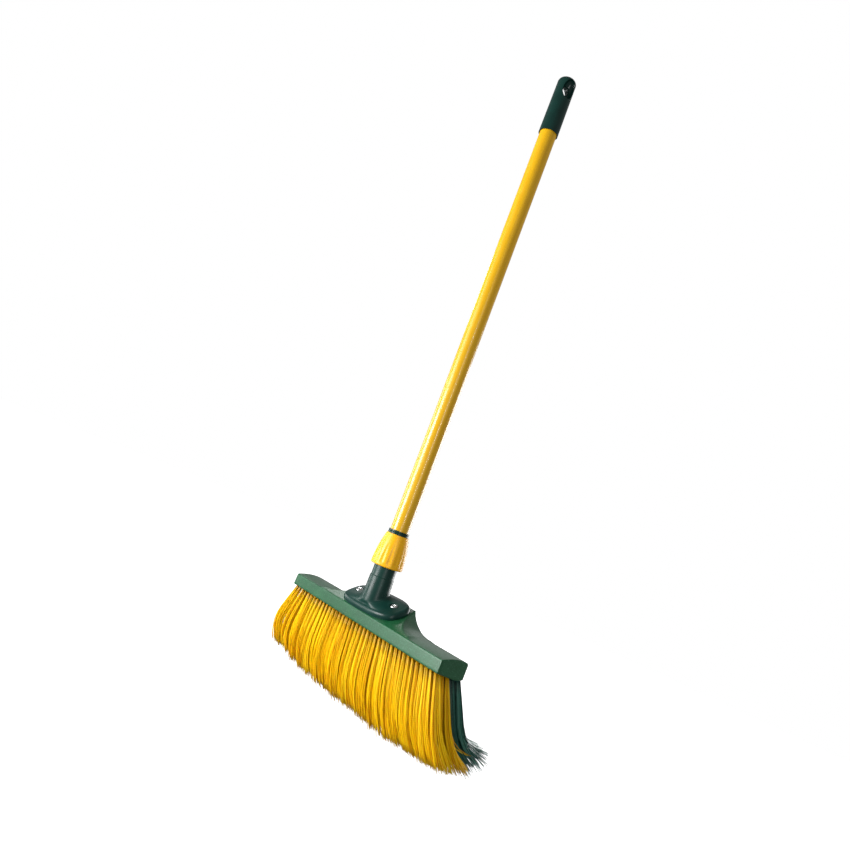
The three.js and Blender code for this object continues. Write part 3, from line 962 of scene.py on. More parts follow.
@dataclass(frozen=True)
class Socket:
    """The moulded socket: a soft flange on the pad, and a neck with a thread for the nut."""

    half_length: float = 59.0
    half_width: float = 30.0
    power: float = 3.1
    rim: float = 9.0
    edge: float = 6.0
    crown: float = 13.5
    foot_radius: float = 19.2
    foot: float = 44.0
    foot_over_pad: float = 18.0
    neck_radius: float = 18.4
    shoulder: float = 56.0
    step: float = 1.0
    thread_radius: float = 17.5
    thread_depth: float = 1.1
    thread_from: float = 74.0
    thread_to: float = 98.0
    pitch: float = 3.0
    groove_share: float = 0.35
    groove_slope: float = 0.9
    groove_ends: tuple[float, float] = (3.0, 2.0)
    top: float = 100.0
    dome_pull: float = 0.6
    fillet_pull: float = 7.0
    bore_radius: float = 14.3
    bore_floor: float = 25.7
    taper_bottom: float = 84.5
    mouth_low: float = 15.45
    mouth_high: float = 16.15
    gap: float = 0.3
    under_edge: tuple[float, float] = (1.2, 0.5)
    sharp: float = 48.0
    segments: int = 288

    def reach(self, angle: np.ndarray) -> np.ndarray:
        """Distance from the flange's centre to its outline: a superellipse in polar form.

        It is (|cos a / half length|^p + |sin a / half width|^p)^(-1/p).

        Args:
            angle: The angles a.

        Returns:
            The distances.
        """
        along = np.abs(np.cos(angle) / self.half_length) ** self.power
        across = np.abs(np.sin(angle) / self.half_width) ** self.power
        return (along + across) ** (-1.0 / self.power)

    def flange_points(self, inset: np.ndarray | float, height: np.ndarray | float) -> np.ndarray:
        """Rings over the flange.

        Args:
            inset: Each ring's distance inside the outline.
            height: Each ring's height over the pad.

        Returns:
            Points about the head datum, of shape (rings, segments, 3).
        """
        angle = ring_angles(self.segments)
        inset, height = np.atleast_1d(inset)[:, None], np.atleast_1d(height)[:, None]
        return DATUM.flange_to_head(polar(self.reach(angle) - inset, angle, height))

    def foot_ring(self, below: float) -> np.ndarray:
        """The ring where the neck leaves its fillet, or a ring that far below it.

        At every angle it stands the same height over the sloped pad, so it climbs to the rear
        as the pad does: (distance behind the front edge) x tan(slope) + height / cos(slope).

        Args:
            below: How far down the neck to put the ring.

        Returns:
            Points about the head datum, of shape (segments, 3).
        """
        angle = ring_angles(self.segments)
        behind = self.foot_radius * np.sin(angle) + DATUM.block_front
        over = self.foot_over_pad / math.cos(DATUM.pad_slope)
        height = behind * math.tan(DATUM.pad_slope) + over - below
        return tilted(polar(self.foot_radius, angle, height), DATUM.lean)

    def dome(self) -> np.ndarray:
        """The dome and the neck's fillet: a cubic Bezier curve at every angle.

        It leaves the flange's soft edge inwards, level with the pad, and arrives up the neck,
        so that the neck seems to grow out of the flange.

        Returns:
            Points about the head datum, of shape (rings, segments, 3).
        """
        start = self.flange_points(self.edge, self.rim)[0]
        foot = self.foot_ring(0.0)
        span = np.hypot(foot[:, 0] - start[:, 0], foot[:, 1] - start[:, 1]) * self.dome_pull
        angle = ring_angles(self.segments)
        reach = self.reach(angle) - self.edge - span
        inwards = DATUM.flange_to_head(polar(reach, angle, self.crown))
        down = self.foot_ring(self.fillet_pull)
        return bezier(np.stack([start, inwards, down, foot]), np.linspace(0.0, 1.0, 40))

    def thread(self) -> np.ndarray:
        """The neck's threaded length.

        A groove of the pitch winds round it, flat floored by a smooth step of the cosine of
        (height / pitch - turns), and fades in and out over the thread's first and last turn.

        Returns:
            Points about the handle's axis, of shape (rings, segments, 3).
        """
        heights = np.linspace(self.thread_from - 3, self.top - 0.8, 90)
        rings = lathe(np.stack([np.full_like(heights, self.thread_radius), heights], -1), self.segments)
        phase = heights[:, None] / self.pitch - ring_angles(self.segments) / FULL_TURN
        wave = np.cos(phase * FULL_TURN) + self.groove_share
        groove = smooth_step(wave / self.groove_slope) * self.thread_depth
        groove *= smooth_step((heights - self.thread_from) / self.groove_ends[0])[:, None]
        groove *= smooth_step((self.thread_to - heights) / self.groove_ends[1])[:, None]
        rings[..., :2] *= (1.0 - groove / self.thread_radius)[..., None]
        return rings

    def neck(self) -> np.ndarray:
        """The neck above its fillet: a barrel, a step, the thread, the mouth and the bore.

        Returns:
            Points about the head datum, of shape (rings, segments, 3).
        """
        barrel = filleted(
            [
                (self.foot_radius, self.foot, 0.0),
                (self.neck_radius, self.shoulder - self.step, 0.5),
                (self.thread_radius, self.shoulder, 0.3),
                (self.thread_radius, self.thread_from - 4, 0.0),
            ]
        )
        inside = filleted(
            [
                (self.thread_radius, self.top - 0.7, 0.0),
                (self.thread_radius, self.top, 0.6),
                (self.mouth_high, self.top, 0.4),
                (self.mouth_low, self.taper_bottom, 0.0),
                (self.bore_radius, self.taper_bottom, 0.2),
                (self.bore_radius, self.bore_floor, 0.5),
                (0.0, self.bore_floor, 0.0),
            ]
        )
        rings = [lathe(barrel, self.segments), self.thread(), lathe(inside, self.segments)]
        return tilted(np.concatenate(rings), DATUM.lean)

    def build(self, finish: bpy.types.Material, screws: "SocketScrews") -> None:
        """Builds the socket, and sinks the screws' round recesses into its flange.

        Args:
            finish: The socket's material.
            screws: The screws that give the recesses.
        """
        turn = np.linspace(0.0, math.pi / 2, 9)
        inset, height = self.edge * (1 - np.cos(turn)), self.rim - self.edge * (1 - np.sin(turn))
        soft = self.flange_points(inset, height)
        inset, height = self.under_edge
        under = self.flange_points(np.array([inset, 0.0]), np.array([self.gap, self.gap + height]))
        centre = DATUM.flange_to_head(np.array([0.0, 0.0, self.gap]))
        pole = np.broadcast_to(centre, (1, self.segments, 3))
        rings = np.concatenate([pole, under, soft, self.dome()[1:], self.neck()[1:]])
        mesh = skin("moulded_socket", [DATUM.head(rings)], self.sharp)
        piece = finish_piece(mesh, finish, Body.HEAD, "handle_socket")
        screws.sink(piece, self.sharp)


@dataclass(frozen=True)
class SocketScrews:
    """The two pan head screws that hold the flange to the pad."""

    offset: float = 40.3
    seat: float = 9.2
    lift: float = 0.3
    head_radius: float = 5.0
    head_height: float = 3.2
    dome_from: float = 0.42
    dome_power: float = 2.6
    shank_radius: float = 2.4
    shank_length: float = 17.0
    recess_radius: float = 6.8
    cutter_top: float = 24.0
    cross_reach: float = 3.1
    cross_half: float = 0.62
    cross_depth: float = 1.9
    cross_edge: tuple[float, float] = (0.35, 0.5)
    cross_tip: float = 1.4
    turns: tuple[float, float] = (0.15, 0.5)
    segments: int = 96

    def recess_points(self, side: int) -> np.ndarray:
        """The cutter of one recess: the shank's hole, the seat, and a slightly tapered well.

        Args:
            side: -1 for the left screw and 1 for the right one.

        Returns:
            Points about the flange's centre, of shape (rings, segments, 3).
        """
        profile = filleted(
            [
                (0.0, -2.0, 0.0),
                (self.shank_radius + 0.3, -2.0, 0.0),
                (self.shank_radius + 0.3, self.seat, 0.0),
                (self.recess_radius - 0.5, self.seat, 0.5),
                (self.recess_radius, self.seat + 7.0, 0.0),
                (self.recess_radius + 0.5, self.cutter_top, 0.0),
                (0.0, self.cutter_top, 0.0),
            ]
        )
        return lathe(profile, self.segments) + np.array([side * self.offset, 0.0, 0.0])

    def sink(self, socket: bpy.types.Object, sharp: float) -> None:
        """Cuts both recesses out of the socket, and keeps the result as its mesh.

        Args:
            socket: The socket's piece.
            sharp: Edges that turn by more than this many degrees are drawn sharp.
        """
        for side in (-1, 1):
            well = DATUM.head(DATUM.flange_to_head(self.recess_points(side)))
            cutter = in_scene("recess_cutter", skin("recess_cutter", [well]))
            cut = socket.modifiers.new("recess", "BOOLEAN")
            cut.operation = "DIFFERENCE"
            cut.solver = "EXACT"
            cut.object = cutter
            graph = bpy.context.evaluated_depsgraph_get()
            result = bpy.data.meshes.new_from_object(socket.evaluated_get(graph))
            socket.modifiers.clear()
            socket.data = result
            bpy.data.objects.remove(cutter)
        shade(socket.data, sharp)

    def head_grid(self) -> np.ndarray:
        """The head's top as a polar grid of heights, with a cross sunk into its dome.

        The dome is a flattened circle's arc. The cross is the wider of two crossed bars with
        tapered sides, and it grows shallower towards its tips.

        Returns:
            Points about the screw's seat, of shape (rings, segments, 3).
        """
        share = np.linspace(0.0, 1.0, 40)[1:, None]
        x, y, _ = np.moveaxis(polar(share * self.head_radius, ring_angles(self.segments), 0.0), -1, 0)
        arc = np.sqrt(np.maximum(1 - share**self.dome_power, 0.0))
        dome = self.head_height * (self.dome_from + (1.0 - self.dome_from) * arc)
        bars = []
        for along, across in ((x, y), (y, x)):
            flank = self.cross_half + self.cross_edge[0] - np.abs(across)
            width = smooth_step(flank / self.cross_edge[1])
            bars.append(width * smooth_step((self.cross_reach - np.abs(along)) / self.cross_tip))
        height = dome - np.maximum(*bars) * self.cross_depth
        return np.stack([x, y, height], -1)

    def build(self, finish: bpy.types.Material) -> None:
        """Builds both screws.

        Args:
            finish: The screws' material.
        """
        top = self.head_grid()
        pole = np.broadcast_to(np.array([0.0, 0.0, top[0, 0, 2]]), (1, self.segments, 3))
        tip = -self.seat - self.shank_length
        profile = filleted(
            [
                (self.head_radius, self.head_height * self.dome_from, 0.0),
                (self.head_radius, 0.0, 0.25),
                (self.shank_radius, 0.0, 0.2),
                (self.shank_radius, tip + 5.0, 0.4),
                (1.0, tip, 0.3),
                (0.0, tip, 0.0),
            ]
        )
        screw = np.concatenate([pole, top, lathe(profile, self.segments)[1:]])
        for side, name, turn in ((-1, "left", self.turns[0]), (1, "right", self.turns[1])):
            place = np.array([side * self.offset, 0.0, self.seat + self.lift])
            seated = DATUM.head(DATUM.flange_to_head(turned(screw, turn) + place))
            mesh = skin(f"pan_screw_{name}", [seated])
            finish_piece(mesh, finish, Body.HEAD, f"socket_screw_{name}")


# ------------------------------------------------------------------ the twist lock


@dataclass(frozen=True)
class TwistLock:
    """The slotted collet that grips the tube, and the fluted nut that closes it."""

    inside: float = 14.3
    outside: float = 15.2
    swelling: float = 1.15
    bottom: float = 85.5
    shoulder_radius: float = 16.5
    shoulder_bottom: float = 112.5
    shoulder_top: float = 115.7
    bead_radius: float = 15.9
    groove_radius: float = 15.2
    bead_bottom: float = 121.3
    beads_height: float = 5.6
    slots: int = 4
    slot_width: float = 2.0
    slot_stop: float = 2.0
    nut_bottom: float = 71.7
    nut_top: float = 121.0
    plate_bottom: float = 116.0
    nut_bottom_radius: float = 24.4
    nut_top_radius: float = 17.1
    nut_power: float = 1.9
    nut_lip: float = 1.6
    lip_wave: float = 0.12
    lip_share: float = 0.1
    skin_top: float = 0.97
    flutes: int = 14
    flute_depth: float = 0.8
    flute_narrowing: float = 2.6
    flute_rise: tuple[float, float] = (0.03, 0.13)
    flute_fade: tuple[float, float] = (0.92, 0.8)
    bore: float = 17.8
    upper_bore: float = 16.8
    throat: float = 15.5
    neck_top: float = 100.0
    pitch: float = 3.0
    ridge_height: float = 0.22
    ridge_crest: float = 0.7
    ridge_from: float = 80.0
    ridge_to: float = 97.0

    def collet_points(self) -> np.ndarray:
        """The collet as one closed wall whose lower edge steps up at each slot.

        The profile goes up the outside, over the two beads and down the inside. Its lowest
        points lie at the slots' tops inside a slot's width and at the collet's bottom
        elsewhere, so each slot is a notch in one and the same surface.

        Returns:
            Points about the handle's axis, of shape (rings, columns, 3).
        """
        half = self.slot_width / 2 / self.outside
        quarter = FULL_TURN / self.slots
        in_one = np.linspace(-half, half, 5)
        between = np.linspace(half + 1e-3, quarter - half - 1e-3, 26)
        one = np.concatenate([in_one, between])
        angle = np.concatenate([one + i * quarter for i in range(self.slots)])
        in_slot = np.tile(np.arange(len(one)) < len(in_one), self.slots)
        low = np.where(in_slot, self.shoulder_bottom - self.slot_stop, self.bottom)
        beads = self.bead_bottom + self.beads_height * np.array([0.0, 0.36, 0.5, 0.64, 1.0])
        profile = filleted(
            [
                (self.outside + 1.1, self.shoulder_bottom, 0.0),
                (self.shoulder_radius - 0.2, self.shoulder_bottom, 0.3),
                (self.shoulder_radius, self.shoulder_top, 0.3),
                (self.outside, self.shoulder_top, 0.1),
                (self.outside, beads[0], 0.1),
                (self.bead_radius, beads[0], 0.9),
                (self.bead_radius, beads[1], 0.9),
                (self.groove_radius, beads[2], 0.5),
                (self.bead_radius, beads[3], 0.9),
                (self.bead_radius, beads[4], 1.2),
                (self.inside, beads[4], 0.4),
                (self.inside, self.shoulder_bottom, 0.0),
            ]
        )
        share = np.linspace(0.0, 1.0, 8)[:, None]
        outer_z = low + (self.shoulder_bottom - low) * share
        up = (outer_z - self.bottom) / (self.shoulder_bottom - self.bottom)
        outer_r = self.outside + self.swelling * up
        inner_z = outer_z[::-1]
        inner_r = np.full_like(inner_z, self.inside)
        radius = np.concatenate([outer_r, np.repeat(profile[:, :1], len(angle), 1), inner_r])
        height = np.concatenate([outer_z, np.repeat(profile[:, 1:], len(angle), 1), inner_z])
        return polar(radius, angle, height)

    def nut_skin(self, angle: np.ndarray) -> np.ndarray:
        """The nut's bulging, fluted skin.

        Its radius falls with the height's share to a power. A raised cosine round the axis, to
        a power that grows upwards, cuts the finger flutes: they start over a thick plain lip,
        are deepest low down, and run out towards the top in a flame's shape.

        Args:
            angle: The angles of the skin's columns.

        Returns:
            Points about the handle's axis, of shape (rings, columns, 3).
        """
        height = self.nut_top - self.nut_bottom
        share = graded([(0.0, 0.05, 5), (0.05, 0.3, 22), (0.3, self.skin_top, 40)])[:, None]
        narrowing = self.nut_bottom_radius - self.nut_top_radius
        swell = self.nut_bottom_radius - narrowing * share**self.nut_power
        lip = round_over(share * height, self.nut_lip)
        ripple = 0.5 * (1 - np.cos(self.flutes * angle))
        rise = smooth_step((share - self.flute_rise[0]) / self.flute_rise[1])
        fade = smooth_step((self.flute_fade[0] - share) / self.flute_fade[1])
        flame = ripple ** (1.0 + self.flute_narrowing * share)
        cut = self.flute_depth * (rise * fade) * flame
        wave = self.lip_wave * (1 - smooth_step(share / self.lip_share)) * ripple
        return polar(swell - lip - cut - wave, angle, self.nut_bottom + height * share)

    def nut_bore(self, angle: np.ndarray) -> np.ndarray:
        """The nut's bore, with a low ridge that winds up as the neck's groove does.

        Args:
            angle: The angles of the bore's columns.

        Returns:
            Points about the handle's axis, from the top down, of shape (rings, columns, 3).
        """
        levels = np.linspace(self.neck_top + self.pitch - 0.5, self.nut_bottom + 1.5, 90)[:, None]
        phase = levels / self.pitch - angle / FULL_TURN
        wave = np.cos(phase * FULL_TURN) - (1.0 - self.ridge_crest)
        ridge = smooth_step(wave / self.ridge_crest) * self.ridge_height
        ridge *= smooth_step((levels - self.ridge_from) / self.pitch)
        ridge *= smooth_step((self.ridge_to - levels) / self.pitch)
        return polar(self.bore - ridge, angle, levels)

    def nut_points(self) -> np.ndarray:
        """The nut as one closed wall: its skin, a top plate, the bore and the mouth.

        Returns:
            Points about the handle's axis, of shape (rings, columns, 3).
        """
        segments = self.flutes * 20
        angle = ring_angles(segments)
        skin_end = self.nut_bottom + (self.nut_top - self.nut_bottom) * self.skin_top
        top = filleted(
            [
                (self.nut_top_radius + 0.15, skin_end, 0.0),
                (self.nut_top_radius, self.nut_top, 0.9),
                (self.throat, self.nut_top, 0.3),
                (self.throat, self.plate_bottom, 0.2),
                (self.upper_bore, self.plate_bottom, 0.3),
                (self.upper_bore, self.neck_top + self.pitch * 2, 0.2),
                (self.bore, self.neck_top + self.pitch, 0.2),
            ]
        )
        mouth = filleted(
            [
                (self.bore, self.nut_bottom + 1.4, 0.0),
                (self.bore, self.nut_bottom, 0.7),
                (self.nut_bottom_radius - self.nut_lip, self.nut_bottom, 0.0),
            ]
        )
        return np.concatenate(
            [self.nut_skin(angle), lathe(top, segments), self.nut_bore(angle), lathe(mouth, segments)]
        )

    def build(self, dark: bpy.types.Material, yellow: bpy.types.Material) -> None:
        """Builds the collet and the nut.

        Args:
            dark: The collet's material.
            yellow: The nut's material.
        """
        collet = skin("slotted_collet", [DATUM.stem(self.collet_points())], wrap_rows=True)
        finish_piece(collet, dark, Body.COLLET, "grip_collet")
        nut = skin("fluted_nut", [DATUM.stem(self.nut_points())], 55.0, wrap_rows=True)
        finish_piece(nut, yellow, Body.NUT, "lock_nut")


# ------------------------------------------------------------------ the handle


@dataclass(frozen=True)
class Handle:
    """The coated tube with its end plug, and the hang cap pushed over its top."""

    radius: float = 14.0
    wall: float = 0.8
    tube_bottom: float = 27.6
    tube_top: float = 856.0
    plug_bottom: float = 26.0
    plug_length: float = 22.0
    plug_wall: float = 2.0
    plug_flange: float = 1.6
    plug_gap: float = 0.3
    cap_rim: float = 806.0
    cap_top: float = 909.0
    cap_rim_radius: float = 16.1
    cap_top_radius: float = 15.4
    cap_gap: float = 0.3
    dome: float = 9.0
    turn: float = math.radians(-14.0)
    hole: float = DATUM.hang
    hole_width: float = 11.0
    hole_tall: float = 15.0
    hole_lip: float = 0.9
    hole_lip_share: float = 0.16
    pocket_depth: float = 12.4
    pocket_half_width: float = 11.0
    pocket_half_tall: float = 17.0
    pocket_edge: float = 1.3
    pocket_release: float = 40.0
    segments: int = 128
    cap_segments: int = 96

    def tube_points(self) -> np.ndarray:
        """The tube's closed wall, with its cut ends slightly rolled in.

        Returns:
            Points about the handle's axis, of shape (rings, segments, 3).
        """
        inner = self.radius - self.wall
        length = graded([(self.tube_bottom + 1.0, self.tube_top - 1.0, 40)])
        barrel = np.stack([np.full_like(length, self.radius), length], -1)
        ends = filleted(
            [
                (self.radius, self.tube_top - 0.8, 0.0),
                (self.radius, self.tube_top, 0.35),
                (inner, self.tube_top, 0.3),
                (inner, self.tube_bottom, 0.3),
                (self.radius, self.tube_bottom, 0.35),
                (self.radius, self.tube_bottom + 0.8, 0.0),
            ]
        )
        return lathe(np.concatenate([barrel, ends]), self.segments)

    def plug_points(self) -> np.ndarray:
        """The plug: a flat flange under the tube's edge and a hollow, ribbed spigot inside it.

        Returns:
            Points about the handle's axis, of shape (rings, segments, 3).
        """
        outer = self.radius - self.wall - self.plug_gap
        inner = outer - self.plug_wall
        low, high = self.plug_bottom, self.plug_bottom + self.plug_length
        shelf, floor = low + self.plug_flange - 0.3, low + self.plug_flange * 2
        profile = filleted(
            [
                (0.0, low, 0.0),
                (self.radius, low, 0.6),
                (self.radius, shelf, 0.2),
                (outer, shelf, 0.1),
                (outer, low + 6.0, 0.1),
                (outer - 0.4, low + 6.6, 0.1),
                (outer, low + 7.2, 0.1),
                (outer, high - 1.5, 0.5),
                (outer - 0.8, high, 0.3),
                (inner, high, 0.3),
                (inner, floor, 0.8),
                (0.0, floor, 0.0),
            ]
        )
        return lathe(profile, self.segments)

    def cap_radius(self, z: np.ndarray) -> np.ndarray:
        """The cap's radius: a slight taper from the rim, then an elliptical dome.

        Args:
            z: Heights.

        Returns:
            The radii.
        """
        shoulder = self.cap_top - self.dome
        share = np.clip((z - self.cap_rim) / (shoulder - self.cap_rim), 0.0, 1.0)
        straight = self.cap_rim_radius + (self.cap_top_radius - self.cap_rim_radius) * share
        up = np.clip((z - shoulder) / self.dome, 0.0, 1.0)
        return np.where(z > shoulder, self.cap_top_radius * np.sqrt(1 - up * up), straight)

    def pocket(self, y: np.ndarray, z: np.ndarray) -> np.ndarray:
        """How far from the middle the surface may lie: a scoop round the hang hole.

        The scoop is the ellipsoid's quarter section; past its outline it soon doesn't limit.

        Args:
            y: Places across the cap.
            z: Heights.

        Returns:
            The distances.
        """
        across, up = y / self.pocket_half_width, (z - self.hole) / self.pocket_half_tall
        far = across**2 + up**2
        scoop = self.pocket_depth * np.sqrt(np.maximum(1 - far, 0.0))
        return self.cap_top_radius - scoop + np.maximum(far - 1.0, 0.0) * self.pocket_release

    def cap_outline(self) -> np.ndarray:
        """The cap's outline in the YZ plane: along the rim, up, over the dome and down.

        Returns:
            Pairs (y, z), of shape (n, 2).
        """
        rim_turn = np.linspace(-1.0, 1.0, 49) * math.pi / 2
        rim_y = self.cap_rim_radius * np.sin(rim_turn)
        rim = np.stack([rim_y, np.full_like(rim_y, self.cap_rim)], -1)
        shoulder, below_hole = self.cap_top - self.dome, self.hole - 20
        side_z = graded([(self.cap_rim, below_hole, 24), (below_hole, shoulder, 26)])[1:]
        side = np.stack([self.cap_radius(side_z), side_z], -1)
        dome_turn = np.linspace(0.0, math.pi, 61)[1:-1]
        dome_y, dome_z = self.cap_top_radius * np.cos(dome_turn), self.dome * np.sin(dome_turn)
        dome = np.stack([dome_y, shoulder + dome_z], -1)
        return np.concatenate([rim, side, dome, side[::-1] * np.array([-1.0, 1.0])])

    def cap_sides(self) -> list[np.ndarray]:
        """The cap as two half shells, each a sheaf of lines from the hole out to the outline.

        A line starts on the hole's ellipse and ends on the outline. At every point the half
        shell's distance from the YZ plane is the round outline's, sqrt(r^2 - y^2), or the
        scoop's where that is less, with a soft edge between them and a lip round the hole.

        Returns:
            Two grids of points, and the wall of the hole between them.
        """
        outline = self.cap_outline()
        bearing = np.arctan2(outline[:, 1] - self.hole, outline[:, 0])
        half_width, half_tall = self.hole_width / 2, self.hole_tall / 2
        oval_y, oval_z = half_width * np.cos(bearing), self.hole + half_tall * np.sin(bearing)
        t = np.sin(np.linspace(0.0, 1.0, 72) * math.pi / 2)[:, None]
        y = oval_y + (outline[:, 0] - oval_y) * t
        z = oval_z + (outline[:, 1] - oval_z) * t
        round_x = np.sqrt(np.maximum(self.cap_radius(z) ** 2 - y * y, 0.0))
        x = np.maximum(soft_min(round_x, self.pocket(y, z), self.pocket_edge), 0.0)
        from_hole = np.sqrt((y / half_width) ** 2 + ((z - self.hole) / half_tall) ** 2) - 1.0
        x = x - self.hole_lip * (1 - np.sqrt(np.clip(from_hole / self.hole_lip_share, 0.0, 1.0)))
        x = np.where(t >= 1.0, round_x, x)
        hole_x = x[0] * np.linspace(1.0, -1.0, 7)[:, None]
        hole = np.stack(np.broadcast_arrays(hole_x, oval_y, oval_z), -1)
        return [np.stack([x, y, z], -1), np.stack([-x, y, z], -1), hole]

    def cap_inside(self) -> np.ndarray:
        """The rim's lip and the blind bore that the tube pushes into.

        Returns:
            Points about the handle's axis, of shape (rings, segments, 3).
        """
        bore, floor = self.radius + self.cap_gap, self.tube_top + self.cap_gap
        profile = filleted(
            [
                (self.cap_rim_radius, self.cap_rim, 0.0),
                (bore, self.cap_rim, 0.4),
                (bore, floor, 0.3),
                (0.0, floor, 0.0),
            ]
        )
        return lathe(profile, self.cap_segments)

    def placed(self, points: np.ndarray) -> np.ndarray:
        """Points about the handle's own axis, turned as the handle is, in the row frame."""
        return DATUM.stem(turned(points, self.turn))

    def build(
        self, coating: bpy.types.Material, dark: bpy.types.Material, cap: bpy.types.Material
    ) -> None:
        """Builds the tube, the plug and the cap.

        Args:
            coating: The tube's material.
            dark: The plug's material.
            cap: The cap's material.
        """
        tube = skin("coated_tube", [self.placed(self.tube_points())], wrap_rows=True)
        finish_piece(tube, coating, Body.HANDLE, "handle_tube")
        plug = skin("end_plug", [self.placed(self.plug_points())])
        finish_piece(plug, dark, Body.HANDLE, "tube_end_plug")
        sheets = [self.placed(sheet) for sheet in (*self.cap_sides(), self.cap_inside())]
        finish_piece(skin("moulded_cap", sheets, 50.0), cap, Body.HANDLE, "hang_cap")


# ------------------------------------------------------------------ the bristles


def mix(pair: tuple[float, float], share: float) -> float:
    """A value that share of the way between a pair."""
    return pair[0] + (pair[1] - pair[0]) * share


def summed(steps: np.ndarray) -> np.ndarray:
    """Running sums along each thread, from 0 at its root."""
    return np.pad(np.cumsum(steps, 1), ((0, 0), (1, 0)))


@dataclass(frozen=True)
class Bristles:
    """Five staggered rows of tufts: three yellow in front and two green behind.

    A pair of lengths, radii, leans, spreads or bends belongs to the front of the block and to
    its rear. A habit is shared by a tuft, a scatter is a thread's own, and a spread goes with
    the thread's place in its tuft.
    """

    block: Block
    rows: int = 5
    yellow_rows: int = 3
    tufts: int = 39
    pitch: float = 9.0
    first: float = 8.9
    front_inset: float = 2.5
    outer_row: float = 0.05
    sunk: float = 1.6
    lengths: tuple[float, float] = (129.5, 141.0)
    length_habit: float = 0.012
    length_scatter: float = 2.6
    short_ends: float = 9.0
    leans: tuple[float, float] = (7.3, 22.0)
    lean_habit: float = 0.5
    lean_scatter: float = 0.35
    lean_spread: float = 0.35
    tip_leans: tuple[float, float] = (42.0, 74.0)
    tip_power: float = 1.6
    tip_habit: float = 2.2
    bend_start: tuple[float, float] = (0.27, 0.36)
    bend_end: tuple[float, float] = (1.0, 0.74)
    fan: float = math.tan(math.radians(17.0))
    side_habit: float = 0.016
    side_spread: float = 0.010
    side_scatter: float = 0.006
    side_wander: float = 0.05
    end_trim: float = 12.0
    flattest: float = 81.0
    tip_spread: tuple[float, float] = (4.0, 8.0)
    tip_shares: tuple[float, float] = (0.6, 0.4)
    stray_tip: float = 24.0
    stray_share: float = 0.05
    flare: float = 0.31
    flare_width: float = 34.0
    flare_blend: float = 1.8
    flare_return: float = 2.1
    flare_turns: tuple[float, float] = (0.3, 0.7)
    tuft_radii: tuple[float, float] = (2.6, 3.6)
    root_pinch: float = 0.86
    pinch_share: float = 0.3
    # Real threads are nearer 0.4 mm thick, and a tuft has more of them. These are fewer and
    # thicker, so that they show, and they fill the same tuft.
    threads: int = 50
    thread_radius: float = 0.5
    tip_taper: float = 0.7
    steps: int = 9
    sides: int = 4
    seed: int = 7
    tone_seed: int = 107
    tone: tuple[float, float] = (0.45, 0.3)

    def row_paths(self, row: int) -> np.ndarray:
        """Centre lines of every thread of a row.

        A thread starts inside its tuft's drilled hole and leans by its row's root angle. From
        a share of its length its heading swings to the tip angle along a smooth step. The
        heading is summed step by step, so every thread keeps its own length. Sideways it
        leans by the fan, in proportion to its place along the block, and its tuft spreads
        and bends at random about that line, by more towards the tips. Near the left end the
        threads flare out and come back.

        Args:
            row: The row's number, from the front.

        Returns:
            Points about the head datum, of shape (threads, steps + 1, 3).
        """
        rng = np.random.default_rng(self.seed + row)
        share = self.outer_row + (1.0 - 2.0 * self.outer_row) * row / (self.rows - 1)
        half_length, front = self.block.half_length, self.block.front + self.front_inset
        y_row = front + (self.block.rear - self.front_inset - front) * share
        count = self.tufts - row % 2
        x_tuft = -half_length + self.first + self.pitch * (np.arange(count) + 0.5 * (row % 2))
        total = count * self.threads
        tuft = np.repeat(np.arange(count), self.threads)
        x_root = x_tuft[tuft]
        end = x_root / half_length

        reach = mix(self.tuft_radii, share) * np.sqrt(rng.random(total))
        bearing = rng.random(total) * FULL_TURN
        off = np.stack([reach * np.cos(bearing), reach * np.sin(bearing)])
        habit = rng.normal(0.0, 1.0, (count, 4))[tuft].T

        nominal = mix(self.lengths, share)
        length = nominal - self.end_trim * (1.0 - share) * np.abs(end) ** 4
        length = length * (1 + self.length_habit * habit[0])
        length -= np.abs(rng.normal(0.0, self.length_scatter, total))
        length -= rng.random(total) ** 8 * self.short_ends

        middles = (np.arange(self.steps) + 0.5) / self.steps
        along = middles[None] * (length / nominal)[:, None]
        start = mix(self.bend_start, share)
        bend = smooth_step((along - start) / (mix(self.bend_end, share) - start))
        lean = mix(self.leans, share) + self.lean_habit * habit[1]
        lean += rng.normal(0.0, self.lean_scatter, total) + off[1] * self.lean_spread
        tip = mix(self.tip_leans, share**self.tip_power) + self.tip_habit * habit[2]
        if row == self.yellow_rows - 1:
            tip = tip + self.stray_tip * (rng.random(total) < self.stray_share)
        scatter = self.tip_shares[0] * rng.normal(0.0, 1.0, total) + self.tip_shares[1] * off[1]
        tip = np.minimum(tip + mix(self.tip_spread, share) * scatter, self.flattest)
        heading = np.radians(lean[:, None] + (tip - lean)[:, None] * bend)

        side = (self.fan * end + self.side_habit * habit[3] + off[0] * self.side_spread)[:, None]
        from_left = x_root + half_length + off[0] * self.flare_blend
        end_near = np.exp(-((from_left / self.flare_width) ** 2))[:, None]
        back_home = smooth_step((along - self.flare_turns[0]) / self.flare_turns[1])
        home = 1.0 - self.flare_return * back_home
        side = side - self.flare * end_near * home
        side = side + rng.normal(0.0, self.side_scatter, total)[:, None]
        side = side + rng.normal(0.0, self.side_wander, total)[:, None] * along**2

        step = (length / self.steps)[:, None] / np.sqrt(1 + (side * np.cos(heading)) ** 2)
        down, back = np.cos(heading) * step, np.sin(heading) * step
        gather = np.linspace(0.0, 1.0, self.steps + 1)[None]
        pinch = self.root_pinch + (1.0 - self.root_pinch) * smooth_step(gather / self.pinch_share)
        x = x_root[:, None] + off[0][:, None] * pinch + summed(down * side)
        y = y_row + off[1][:, None] * pinch + summed(back)
        z = (self.block.keel_height(y_row + off[1]) + self.sunk)[:, None] - summed(down)
        return np.stack([x, y, z], -1)

